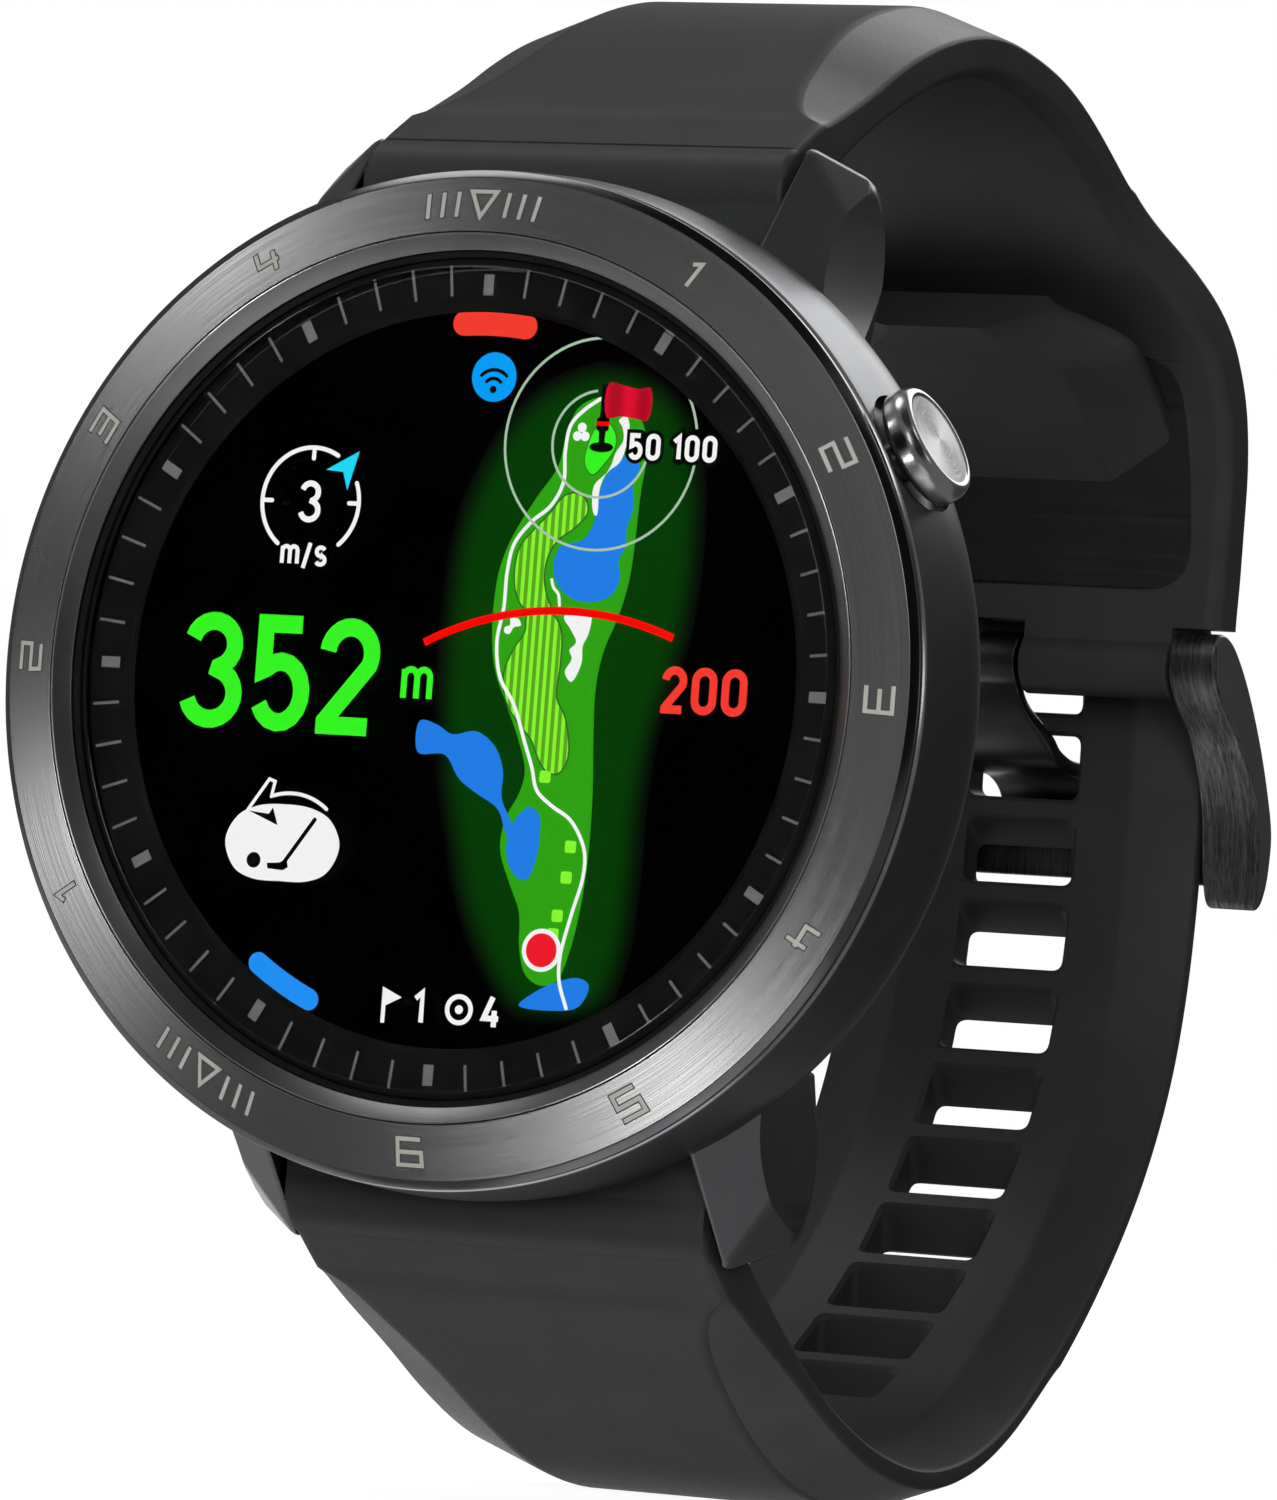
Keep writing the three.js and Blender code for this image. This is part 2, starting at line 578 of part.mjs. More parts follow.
function buckleFrame() {
  let body = plateX(CROSSBAR_OUTLINE, -ARM_OUTER_X + 0.5, ARM_OUTER_X - 0.5);
  body = body.add(plateX(ARM_OUTLINE, ARM_INNER_X, ARM_OUTER_X));
  body = body.add(plateX(ARM_OUTLINE, -ARM_OUTER_X, -ARM_INNER_X));
  return body.subtract(rodX(BUCKLE_EYE_R, -BUCKLE_BORE_HALF, BUCKLE_BORE_HALF, BUCKLE_BAR_Y, BUCKLE_BAR_Z));
}

function prongSection(u) {
  const half = PRONG_EYE_HALF + (PRONG_WIDE_HALF - PRONG_EYE_HALF) * smooth(u, 0.1, 0.38)
    - 0.6 * smooth(u, 0.75, 1.0);
  const h = PRONG_THICKNESS / 2;
  return [[half, -h], [half, h], [-half, h], [-half, -h]];
}

function prong() {
  const past = PRONG_EYE_HALF + 1;
  const eye = rodX(PRONG_EYE_R, -PRONG_EYE_HALF, PRONG_EYE_HALF, BUCKLE_BAR_Y, BUCKLE_BAR_Z);
  const bar = rodX(BUCKLE_EYE_R, -past, past, BUCKLE_BAR_Y, BUCKLE_BAR_Z);
  return sweep(PRONG_PATH, 20, -1, prongSection).add(eye).subtract(bar);
}

add('buckle_frame', buckleFrame(), finishes.gunmetal);
add('buckle_prong', prong(), finishes.gunmetal);
const buckleBar = rodX(BUCKLE_BAR_R, -BUCKLE_BAR_HALF, BUCKLE_BAR_HALF, BUCKLE_BAR_Y, BUCKLE_BAR_Z, 20);
add('buckle_bar', buckleBar, finishes.polished);

export default watch;
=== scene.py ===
# Golf GPS watch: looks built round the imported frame. All shape values are millimetres in the dial
# frame (x to 3 o'clock, y from the display into the wrist, z to 12 o'clock); at() turns them into
# metres in the part's frame.
import math

import bmesh
import bpy
from mathutils import Matrix, Vector


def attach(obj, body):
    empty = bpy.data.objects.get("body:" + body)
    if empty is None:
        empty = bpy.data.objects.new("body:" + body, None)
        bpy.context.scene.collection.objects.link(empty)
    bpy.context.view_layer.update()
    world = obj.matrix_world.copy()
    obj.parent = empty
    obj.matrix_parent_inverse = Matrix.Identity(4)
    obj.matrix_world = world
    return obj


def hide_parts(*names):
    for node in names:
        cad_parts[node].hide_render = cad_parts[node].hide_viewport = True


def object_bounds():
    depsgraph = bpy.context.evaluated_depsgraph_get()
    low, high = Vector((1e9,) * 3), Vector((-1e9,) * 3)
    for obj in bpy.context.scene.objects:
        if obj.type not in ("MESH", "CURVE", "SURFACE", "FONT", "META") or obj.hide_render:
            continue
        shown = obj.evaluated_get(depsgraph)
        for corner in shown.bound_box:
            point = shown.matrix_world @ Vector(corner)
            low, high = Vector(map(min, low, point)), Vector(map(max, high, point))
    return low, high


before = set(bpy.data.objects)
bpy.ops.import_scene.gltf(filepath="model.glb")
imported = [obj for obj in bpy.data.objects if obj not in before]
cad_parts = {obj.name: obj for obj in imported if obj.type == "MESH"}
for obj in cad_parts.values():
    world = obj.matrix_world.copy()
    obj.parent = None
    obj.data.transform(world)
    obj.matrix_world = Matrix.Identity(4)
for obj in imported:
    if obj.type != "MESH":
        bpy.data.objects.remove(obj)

cad_box = [list(v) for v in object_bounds()]

MM = 0.001
BACK_FACE_Y = 10.6
TURN = 2 * math.pi
# Between these two values lies nearly all of a noise texture.
NOISE_LOW = 0.3
NOISE_HIGH = 0.7


def at(x, y, z):
    return Vector((x * MM, (y - BACK_FACE_Y) * MM, z * MM))


def local(x, y, z):
    """Millimetres in an object's own frame, as metres."""
    return Vector((x * MM, y * MM, z * MM))


# ---- camera, light, floor ----

CAMERA_PLACE = (0.1987, -0.4027, -0.0230)
CAMERA_RIGHT = (0.8991, 0.4311, 0.0761)
CAMERA_UP = (-0.0484, -0.0749, 0.9960)
CAMERA_LENS = 231.9
FLOOR_RADIUS = 3.0


def make_camera():
    data = bpy.data.cameras.new("camera")
    data.lens = CAMERA_LENS
    data.sensor_width = 36.0
    data.clip_start = 0.01
    camera = bpy.data.objects.new("camera", data)
    bpy.context.scene.collection.objects.link(camera)
    right = Vector(CAMERA_RIGHT).normalized()
    back = right.cross(Vector(CAMERA_UP)).normalized()
    up = back.cross(right)
    turn = Matrix((right, up, back)).transposed().to_4x4()
    camera.matrix_world = Matrix.Translation(CAMERA_PLACE) @ turn
    bpy.context.scene.camera = camera


# ---- node helpers ----


class Graph:
    """A material's or world's nodes, with short calls to add and link them."""

    def __init__(self, owner):
        owner.use_nodes = True
        self.nodes = owner.node_tree.nodes
        self.links = owner.node_tree.links

    def add(self, kind, inputs=None, **settings):
        node = self.nodes.new(kind)
        for key, value in settings.items():
            setattr(node, key, value)
        for key, value in (inputs or {}).items():
            self.put(node.inputs[key], value)
        return node

    def put(self, socket, value):
        if isinstance(value, bpy.types.NodeSocket):
            self.links.new(value, socket)
        else:
            socket.default_value = value

    def math(self, operation, a, b=0.0):
        return self.add("ShaderNodeMath", {0: a, 1: b}, operation=operation).outputs[0]

    def remap(self, value, low, high, to_low=0.0, to_high=1.0, smooth=False):
        kind = "SMOOTHSTEP" if smooth else "LINEAR"
        ends = {"From Min": low, "From Max": high, "To Min": to_low, "To Max": to_high}
        node = self.add("ShaderNodeMapRange", {"Value": value, **ends}, interpolation_type=kind)
        return node.outputs["Result"]

    def place_mm(self, scale=(1, 1, 1)):
        coord = self.add("ShaderNodeTexCoord")
        inputs = {"Vector": coord.outputs["Object"], "Scale": [s / MM for s in scale]}
        return self.add("ShaderNodeMapping", inputs).outputs[0]

    def noise(self, scale, detail=3.0, vector=None):
        inputs = {"Vector": vector or self.place_mm(), "Scale": scale, "Detail": detail}
        return self.add("ShaderNodeTexNoise", inputs).outputs["Fac"]

    def mix(self, factor, a, b):
        node = self.add("ShaderNodeMix", {0: factor, 6: a, 7: b}, data_type="RGBA")
        return node.outputs[2]

    def blend(self, a, b, share_a, share_b):
        return self.math("ADD", self.math("MULTIPLY", a, share_a), self.math("MULTIPLY", b, share_b))

    def surface(self, shader, colour, fine, rough, depth):
        """Colour, roughness that follows the fine noise between two values, and a bump from it."""
        self.put(shader.inputs["Base Color"], colour)
        self.put(shader.inputs["Roughness"], self.remap(fine, NOISE_LOW, NOISE_HIGH, *rough))
        bump = self.add("ShaderNodeBump", {"Height": fine, "Strength": 1.0, "Distance": depth * MM})
        self.put(shader.inputs["Normal"], bump.outputs[0])


def linear(r, g, b):
    """An 8-bit screen colour as linear light."""
    def one(v):
        v = v / 255
        return v / 12.92 if v <= 0.04045 else ((v + 0.055) / 1.055) ** 2.4
    return (one(r), one(g), one(b), 1.0)


def new_material(name, inputs):
    """A material, its graph and its shader, whose own sockets are set from inputs."""
    material = bpy.data.materials.new(name)
    graph = Graph(material)
    shader = graph.nodes["Principled BSDF"]
    for key, value in inputs.items():
        shader.inputs[key].default_value = value
    return material, graph, shader


def grained(name, dark, light, rough, spread=0.06, grain=9.0, depth=0.01, metal=0.0, specular=0.5):
    """Base colour between dark and light in slow patches, fine grain in roughness and bump."""
    material, g, shader = new_material(name, {"Metallic": metal, "Specular IOR Level": specular})
    slow = g.noise(0.35, 2.0)
    fine = g.noise(grain, 4.0)
    colour = g.mix(g.remap(slow, 0.35, 0.65), dark, light)
    g.surface(shader, colour, fine, (rough - spread, rough + spread), depth)
    return material


def turned_metal(name, dark, light, rough, axis="Y", grooves=26.0, depth=0.004):
    """Metal brushed in circles round one of the object's own axes."""
    material, g, shader = new_material(name, {"Metallic": 1.0, "Anisotropic": 0.85})
    place = g.add("ShaderNodeSeparateXYZ", {0: g.place_mm()})
    a, b = [place.outputs[k] for k in ("X", "Y", "Z") if k != axis]
    radius = g.math("SQRT", g.math("ADD", g.math("MULTIPLY", a, a), g.math("MULTIPLY", b, b)))
    angle = g.math("ARCTAN2", a, b)

    def rings(along_radius, along_angle):
        parts = {0: g.math("MULTIPLY", radius, along_radius), 1: g.math("MULTIPLY", angle, along_angle)}
        return g.add("ShaderNodeCombineXYZ", parts).outputs[0]
    lines = rings(grooves, 1.2)
    broad = rings(5.0, 0.8)
    fine = g.noise(1.0, 3.0, lines)
    wide = g.noise(1.0, 2.0, broad)
    both = g.blend(fine, wide, 0.55, 0.45)
    colour = g.mix(g.remap(both, 0.36, 0.64), dark, light)
    g.surface(shader, colour, fine, (rough + 0.07, rough - 0.07), depth)
    tangent = g.add("ShaderNodeTangent", direction_type="RADIAL", axis=axis)
    g.put(shader.inputs["Tangent"], tangent.outputs[0])
    return material


def straight_brushed(name, dark, light, rough, along):
    """Metal with fine parallel lines: along is the stretch of the noise in x, y and z."""
    material, g, shader = new_material(name, {"Metallic": 1.0})
    fine = g.noise(6.0, 4.0, g.place_mm(along))
    wide = g.noise(1.2, 2.0, g.place_mm(along))
    both = g.blend(fine, wide, 0.6, 0.4)
    colour = g.mix(g.remap(both, 0.38, 0.62), dark, light)
    g.surface(shader, colour, fine, (rough + 0.08, rough - 0.08), 0.006)
    return material


def glowing(name, grain, least, dark, base, glow, inputs):
    """A matt paint with a light of its own, a little uneven."""
    material, g, shader = new_material(name, inputs)
    tone = g.remap(g.noise(*grain), NOISE_LOW, NOISE_HIGH, least, 1.0)
    g.put(shader.inputs["Base Color"], g.mix(tone, dark, base))
    g.put(shader.inputs["Emission Color"], g.mix(tone, dark, glow))
    return material


PIXEL_PITCH = 0.09


def lit(name, colour, shade=None):
    """A lit area of the display: its pixels' grid dims the colour a little. shade may darken it further."""
    material, g, shader = new_material(name, {
        "Base Color": (0.004, 0.004, 0.004, 1), "Roughness": 0.5, "Specular IOR Level": 0.0,
        "Emission Strength": 1.0})
    place = g.add("ShaderNodeSeparateXYZ", {0: g.place_mm()})
    rows, columns = [g.math("PINGPONG", place.outputs[k], PIXEL_PITCH / 2) for k in ("Z", "X")]
    grid = g.remap(g.math("MULTIPLY", rows, columns), 0.0, 0.0012, 0.92, 1.0)
    if shade:
        grid = g.math("MULTIPLY", grid, shade(g, place))
    g.put(shader.inputs["Emission Color"], g.mix(grid, (0, 0, 0, 1), colour))
    return material


def stripes(g, place):
    """Mown stripes, each half a pitch wide."""
    wave = g.math("PINGPONG", place.outputs["X"], 0.185)
    return g.remap(wave, 0.075, 0.11, 0.42, 1.0, smooth=True)


def edge_fade(g, _place):
    fade = g.add("ShaderNodeAttribute", attribute_name="fade")
    return g.remap(fade.outputs["Fac"], 0.0, 1.0, 0.0, 1.0, smooth=True)


def flag_folds(g, place):
    wave = g.math("SINE", g.math("MULTIPLY", place.outputs["X"], 4.4))
    return g.remap(wave, -1.0, 1.0, 0.55, 1.0)


def glass_material():
    material, g, shader = new_material("watch_glass", {
        "Base Color": (1, 1, 1, 1), "IOR": 1.5, "Transmission Weight": 1.0})
    smear = g.noise(0.12, 2.0)
    g.put(shader.inputs["Roughness"], g.remap(smear, NOISE_LOW, NOISE_HIGH, 0.0, 0.02))
    return material


# ---- shape helpers ----


def catmull(points, steps, closed=False):
    """A centripetal Catmull-Rom curve through 2-D points, each span cut into steps."""
    pts = [Vector(p) for p in points]
    n = len(pts)
    if closed:
        ring = [pts[(i - 1) % n] for i in range(n + 3)]
    else:
        ring = [2 * pts[0] - pts[1], *pts, 2 * pts[-1] - pts[-2]]
    out = []
    for i in range(n if closed else n - 1):
        p0, p1, p2, p3 = ring[i : i + 4]
        t1 = (p1 - p0).length ** 0.5
        t2 = t1 + (p2 - p1).length ** 0.5
        t3 = t2 + (p3 - p2).length ** 0.5
        for k in range(steps):
            t = t1 + (t2 - t1) * k / steps
            a = p0 * ((t1 - t) / t1) + p1 * (t / t1)
            b = p1 * ((t2 - t) / (t2 - t1)) + p2 * ((t - t1) / (t2 - t1))
            c = p2 * ((t3 - t) / (t3 - t2)) + p3 * ((t - t2) / (t3 - t2))
            d = a * ((t2 - t) / t2) + b * (t / t2)
            e = b * ((t3 - t) / (t3 - t1)) + c * ((t - t1) / (t3 - t1))
            out.append(d * ((t2 - t) / (t2 - t1)) + e * ((t - t1) / (t2 - t1)))
    if not closed:
        out.append(pts[-1])
    return out


def fillet(points, radius, steps=3, closed=True):
    """Rounds the corners of a 2-D outline. radius is one number or one for each corner."""
    out = []
    n = len(points)
    for i in range(n):
        p = Vector(points[i])
        if not closed and i in (0, n - 1):
            out.append(p)
            continue
        a = Vector(points[i - 1]) - p
        b = Vector(points[(i + 1) % n]) - p
        r = radius[i] if isinstance(radius, (list, tuple)) else radius
        start = p + a.normalized() * min(r, 0.45 * a.length)
        end = p + b.normalized() * min(r, 0.45 * b.length)
        for k in range(steps + 1):
            t = k / steps
            out.append(start * (1 - t) ** 2 + p * 2 * t * (1 - t) + end * t * t)
    return out


def bowl(cx, cz, rx, rz, start, end, steps=14):
    """Part of an ellipse, degrees from +x towards +z."""
    turns = [math.radians(start + (end - start) * k / steps) for k in range(steps + 1)]
    return [(cx + rx * math.cos(a), cz + rz * math.sin(a)) for a in turns]


def arc(cx, cz, radius, start, end, steps=24):
    return [Vector(p) for p in bowl(cx, cz, radius, radius, start, end, steps)]


def pairs(ring):
    """Each item of a closed ring with the next one."""
    return zip(ring, ring[1:] + ring[:1])


class Build:
    """Collects vertices (dial frame, mm) and faces with a material index."""

    def __init__(self):
        self.verts = []
        self.faces = []
        self.kinds = []
        self.fades = []

    def add(self, verts, faces, kind=0, fades=None):
        base = len(self.verts)
        self.verts += [tuple(v) for v in verts]
        self.fades += fades or [1.0] * len(verts)
        for f in faces:
            self.faces.append([base + i for i in f])
            self.kinds.append(kind)


def to_mesh(name, build, place=at):
    mesh = bpy.data.meshes.new(name)
    mesh.from_pydata([place(*v) for v in build.verts], [], build.faces)
    for polygon, kind in zip(mesh.polygons, build.kinds):
        polygon.material_index = kind
    bm = bmesh.new()
    bm.from_mesh(mesh)
    bmesh.ops.recalc_face_normals(bm, faces=bm.faces)
    bm.to_mesh(mesh)
    bm.free()
    return mesh
def from_bmesh(name, bm):
    mesh = bpy.data.meshes.new(name)
    bm.to_mesh(mesh)
    bm.free()
    return mesh
def finish_piece(name, mesh, materials, body, slot=None, replaces=(), sharp=32.0, matrix=None):
    kinds = [polygon.material_index for polygon in mesh.polygons]
    mesh.materials.clear()
    for material in materials:
        mesh.materials.append(material)
    mesh.polygons.foreach_set("material_index", kinds)
    mesh.shade_smooth()
    mesh.set_sharp_from_angle(angle=math.radians(sharp))
    piece = bpy.data.objects.new(name, mesh)
    bpy.context.scene.collection.objects.link(piece)
    weighted = piece.modifiers.new("flat faces stay flat", "WEIGHTED_NORMAL")
    weighted.keep_sharp = True
    if matrix is not None:
        piece.matrix_world = matrix
    bpy.context.view_layer.update()
    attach(piece, body)
    if replaces:
        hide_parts(*replaces)
    return piece


def piece(name, build, materials, body, slot=None, replaces=(), sharp=32.0):
    return finish_piece(name, to_mesh(name, build), materials, body, slot, replaces, sharp)


def lathe(profile, segments=192, kinds=None):
    """Turns [radius, height] points about the y axis: a closed ring, or a line from axis to axis.
    A point on the axis becomes one vertex."""
    build = Build()
    rings = []
    for r, h in profile:
        turns = [TURN * k / segments for k in range(1 if r < 1e-6 else segments)]
        rings.append([len(build.verts) + k for k in range(len(turns))])
        build.add([(r * math.sin(a), h, r * math.cos(a)) for a in turns], [])
    for i, (a, b) in enumerate(pairs(rings)):
        if len(a) == 1 and len(b) == 1:
            continue
        for k in range(segments):
            n = (k + 1) % segments
            if len(a) == 1:
                face = [a[0], b[n], b[k]]
            elif len(b) == 1:
                face = [a[k], a[n], b[0]]
            else:
                face = [a[k], a[n], b[n], b[k]]
            build.faces.append(face)
            build.kinds.append(kinds[i] if kinds else 0)
    return build


def prism(outline, low, high, place):
    """A closed plate: outline points, between two heights; place(u, v, h) gives the 3-D point."""
    n = len(outline)
    verts = [place(u, v, low) for u, v in outline] + [place(u, v, high) for u, v in outline]
    faces = [list(range(n)), list(range(n, 2 * n))]
    faces += [[i, (i + 1) % n, n + (i + 1) % n, n + i] for i in range(n)]
    return verts, faces


def offsets(points, width, closed):
    """Left and right rails of a ribbon along 2-D points, mitred at the corners."""
    left = []
    right = []
    n = len(points)
    for i in range(n):
        p = Vector(points[i])
        before = Vector(points[i - 1]) if closed or i > 0 else None
        after = Vector(points[(i + 1) % n]) if closed or i < n - 1 else None
        d1 = (p - before).normalized() if before is not None else (after - p).normalized()
        d2 = (after - p).normalized() if after is not None else d1
        mitre = Vector((-(d1.y + d2.y), d1.x + d2.x))
        if mitre.length < 1e-6:
            mitre = Vector((-d1.y, d1.x))
        mitre.normalize()
        grow = 1 / max(0.5, mitre.dot(Vector((-d1.y, d1.x))))
        left.append(p + mitre * grow * width / 2)
        right.append(p - mitre * grow * width / 2)
    return left, right


def ribbon(points, width, low, high, place, closed=False):
    """A closed solid strip of constant width along 2-D points."""
    left, right = offsets(points, width, closed)
    n = len(points)
    verts = []
    for h in (low, high):
        for row in (left, right):
            verts += [place(p.x, p.y, h) for p in row]
    faces = []
    for i in range(n if closed else n - 1):
        j = (i + 1) % n
        faces += [[i, j, n + j, n + i], [2 * n + i, 2 * n + j, 3 * n + j, 3 * n + i]]
        faces += [[i, j, 2 * n + j, 2 * n + i], [n + i, n + j, 3 * n + j, 3 * n + i]]
    if not closed:
        faces += [[0, n, 3 * n, 2 * n], [n - 1, 2 * n - 1, 4 * n - 1, 3 * n - 1]]
    return verts, faces


def boolean(mesh, tool, operation):
    """The mesh joined with, or cut by, the tool mesh."""
    objects = []
    for data in (mesh, tool):
        o = bpy.data.objects.new("work", data)
        bpy.context.scene.collection.objects.link(o)
        objects.append(o)
    base, other = objects
    modifier = base.modifiers.new("cut", "BOOLEAN")
    modifier.operation = operation
    modifier.solver = "MANIFOLD"
    modifier.object = other
    bpy.context.view_layer.update()
    graph = bpy.context.evaluated_depsgraph_get()
    result = bpy.data.meshes.new_from_object(base.evaluated_get(graph))
    for o in objects:
        bpy.data.objects.remove(o)
    return result
def join(mesh, build):
    return boolean(mesh, to_mesh("tool", build), "UNION")


def cut(mesh, build):
    return boolean(mesh, to_mesh("tool", build), "DIFFERENCE")


def rod_x(radius, x0, x1, y, z, segments=48, edge=0.0):
    """A rod along x. Its end edges are rounded if edge is given."""
    profile = [Vector(p) for p in ((0, x0), (radius, x0), (radius, x1), (0, x1))]
    if edge:
        profile = fillet(profile, edge, 4, closed=False)
    rod = lathe(profile, segments)
    rod.verts = [(h, y + vx, z + vz) for vx, h, vz in rod.verts]
    return rod


def block(xs, ys, zs):
    """A box between two values on each axis."""
    build = Build()
    build.add([(x, y, z) for x in xs for z in zs for y in ys],
              [[0, 1, 3, 2], [4, 5, 7, 6], [0, 1, 5, 4], [2, 3, 7, 6], [0, 2, 6, 4], [1, 3, 7, 5]])
    return build


def smooth(x, a, b):
    t = min(1.0, max(0.0, (x - a) / (b - a)))
    return t * t * (3 - 2 * t)


# ---- materials ----

RUBBER = grained("silicone", linear(44, 45, 46), linear(48, 49, 50), 0.5,
                 spread=0.05, grain=7.0, depth=0.006, specular=0.4)
# The side facets' rubber is lighter than the rest: painted sheen for the light they catch. It is also a
# little glossier.
RUBBER_FACET_SHEEN = grained("silicone_facet_painted_sheen", linear(64, 65, 67), linear(69, 70, 72), 0.42,
                      spread=0.05, grain=7.0, depth=0.006)
CASE_METAL = grained("satin_case", (0.17, 0.173, 0.18, 1), (0.185, 0.188, 0.195, 1), 0.3,
                     spread=0.03, grain=14.0, depth=0.002, metal=1.0)
RIM_METAL = grained("case_rim", (0.5, 0.51, 0.53, 1), (0.6, 0.61, 0.63, 1), 0.16,
                    spread=0.03, grain=10.0, depth=0.001, metal=1.0)
BEZEL_METAL = turned_metal("brushed_bezel", (0.3, 0.3, 0.302, 1), (0.35, 0.35, 0.354, 1), 0.2, depth=0.00048)
LIP_METAL = grained("bezel_lip", (0.33, 0.33, 0.332, 1), (0.37, 0.37, 0.372, 1), 0.32,
                    spread=0.03, grain=12.0, depth=0.002, metal=1.0)
POLISHED = grained("polished_steel", (0.62, 0.62, 0.63, 1), (0.72, 0.72, 0.73, 1), 0.2,
                   spread=0.03, grain=6.0, depth=0.0008, metal=1.0)
CHAMFER_METAL = grained("bezel_chamfer", (0.2, 0.2, 0.21, 1), (0.24, 0.24, 0.25, 1), 0.12,
                        spread=0.03, grain=6.0, depth=0.0008, metal=1.0)
# The dark rim paint under the numerals is painted shade, for the walls of engraved signs.
NUMBER_SHADE_RIM_PAINT = grained("number_rim_painted_shade", (0.05, 0.05, 0.05, 1), (0.06, 0.06, 0.06, 1), 0.5)
NUMBER_PAINT = grained("number_paint", linear(176, 173, 166), linear(190, 187, 180), 0.5,
                       spread=0.08, grain=12.0, depth=0.002)
BLACK_RING = grained("minute_ring_black", linear(24, 24, 24), linear(30, 30, 30), 0.6,
                     spread=0.05, grain=16.0, depth=0.001, specular=0.0)
BLACK_PANEL = grained("display_black", (0.0004, 0.0004, 0.0004, 1), (0.0008, 0.0008, 0.0008, 1), 0.4,
                      spread=0.02, grain=5.0, depth=0.0003, specular=0.0)
SEAL = grained("seal_rubber", linear(10, 10, 10), linear(16, 16, 16), 0.75, spread=0.08, grain=12.0)
BUTTON_FACE_METAL = turned_metal("spun_steel", (0.36, 0.36, 0.37, 1), (0.41, 0.41, 0.42, 1), 0.3,
                                 axis="Z", grooves=34.0, depth=0.001)
BUCKLE_METAL = straight_brushed("buckle_brushed", (0.08, 0.08, 0.082, 1), (0.3, 0.3, 0.305, 1), 0.38,
                                (5.0, 0.25, 0.25))
BUCKLE_SIDE = grained("buckle_side", (0.06, 0.06, 0.062, 1), (0.07, 0.07, 0.072, 1), 0.42,
                      spread=0.04, grain=12.0, depth=0.003)
PRONG_METAL = grained("prong_satin", (0.12, 0.12, 0.123, 1), (0.15, 0.15, 0.153, 1), 0.36,
                      spread=0.05, grain=10.0, depth=0.003, metal=1.0)
BACK_METAL = turned_metal("brushed_back", (0.1, 0.1, 0.105, 1), (0.17, 0.17, 0.175, 1), 0.4, grooves=14.0)
BACK_SATIN = grained("back_satin", (0.06, 0.062, 0.066, 1), (0.085, 0.087, 0.092, 1), 0.45,
                     spread=0.05, grain=10.0, depth=0.004, metal=0.8)
GOLD = grained("contact_gold", (0.75, 0.52, 0.2, 1), (0.86, 0.63, 0.28, 1), 0.24,
               grain=8.0, depth=0.001, metal=1.0)
PLASTIC = grained("inner_plastic", (0.012, 0.012, 0.014, 1), (0.02, 0.02, 0.022, 1), 0.5, grain=10.0)
BOARD = grained("board_green", (0.01, 0.09, 0.03, 1), (0.015, 0.13, 0.05, 1), 0.4, grain=3.0)
FOIL = grained("battery_foil", (0.42, 0.43, 0.45, 1), (0.55, 0.56, 0.58, 1), 0.35, grain=2.0, metal=0.8)
CERAMIC = grained("antenna_ceramic", (0.6, 0.54, 0.4, 1), (0.7, 0.64, 0.5, 1), 0.6, grain=8.0)
GLASS = glass_material()

# ---- case and bezel ----

CASE_PROFILE = [
    (20.3, 0.3), (21.8, 0.3), (21.8, -1.07), (23.1, -1.07), (23.32, -0.83), (23.42, 0.4), (23.62, 2.9),
    (23.5, 5.1), (22.1, 6.7), (21.3, 8.4), (20.9, 9.6), (20.3, 9.6),
]
CASE_CORNERS = [0.05, 0.05, 0.05, 0.05, 0.1, 1.2, 0.6, 1.2, 0.9, 0.9, 0.1, 0.05]
LUG_CORNERS = [
    (11, 3.6, 20.2), (11, 8.7, 26), (11, 11.9, 25.4), (11, 10.2, 19.2), (16.2, 4.6, 16.6), (15, 7.4, 21),
    (13.7, 10.5, 24.6), (13.4, 12.1, 24), (14.6, 9.4, 16.4), (14.7, 10.6, 21.0),
]
LUG_EDGE = 0.3
# The hollow in each lug's outer side: a cylinder that cuts deepest at the lug's front edge.
SCOOP_R = 14.0
SCOOP_DEPTH = 0.7
SCOOP_MIDDLE = (14.95, 7.5, 20.4)
SCOOP_OUT = (0.955, 0.298)
SCOOP_LEAN = 0.16
SCOOP_HALF_LENGTH = 14.0
# The polished rim: what lies in front of this height and outside this radius.
CASE_RIM = (-0.84, 23.0)
BUTTON_TURN = math.radians(61)
BUTTON_Y = 2.1
RECESS_R = 2.95
RECESS_FLOOR = 22.85
RECESS_MOUTH = 27.0


def lug_mesh(sx, sz):
    bm = bmesh.new()
    for x, y, z in LUG_CORNERS:
        bm.verts.new(at(sx * x, y, sz * z))
    bmesh.ops.convex_hull(bm, input=bm.verts)
    bmesh.ops.dissolve_limit(bm, angle_limit=math.radians(3), verts=bm.verts, edges=bm.edges)
    bmesh.ops.bevel(bm, geom=bm.edges[:], offset=LUG_EDGE * MM, segments=3, profile=0.5, affect="EDGES")
    bmesh.ops.recalc_face_normals(bm, faces=bm.faces)
    return from_bmesh("lug", bm)


def lug_scoop(sx, sz):
    axis = Vector((sx * SCOOP_OUT[0] * SCOOP_LEAN, 1, sz * SCOOP_OUT[1] * SCOOP_LEAN)).normalized()
    x, y, z = SCOOP_MIDDLE
    reach = SCOOP_R - SCOOP_DEPTH
    middle = at(sx * (x + SCOOP_OUT[0] * reach), y, sz * (z + SCOOP_OUT[1] * reach))
    turn = Vector((0, 1, 0)).rotation_difference(axis).to_matrix().to_4x4()
    end = SCOOP_HALF_LENGTH
    mesh = to_mesh("scoop", lathe([(0, -end), (SCOOP_R, -end), (SCOOP_R, end), (0, end)], 160), local)
    mesh.transform(Matrix.Translation(middle) @ turn)
    return mesh


def button_frame():
    """Local z along the button's axis, pointing out of the case."""
    out = Vector((math.sin(BUTTON_TURN), 0, math.cos(BUTTON_TURN)))
    side = Vector((0, 1, 0))
    turn = Matrix((side.cross(out), side, out)).transposed().to_4x4()
    return Matrix.Translation(at(0, BUTTON_Y, 0)) @ turn


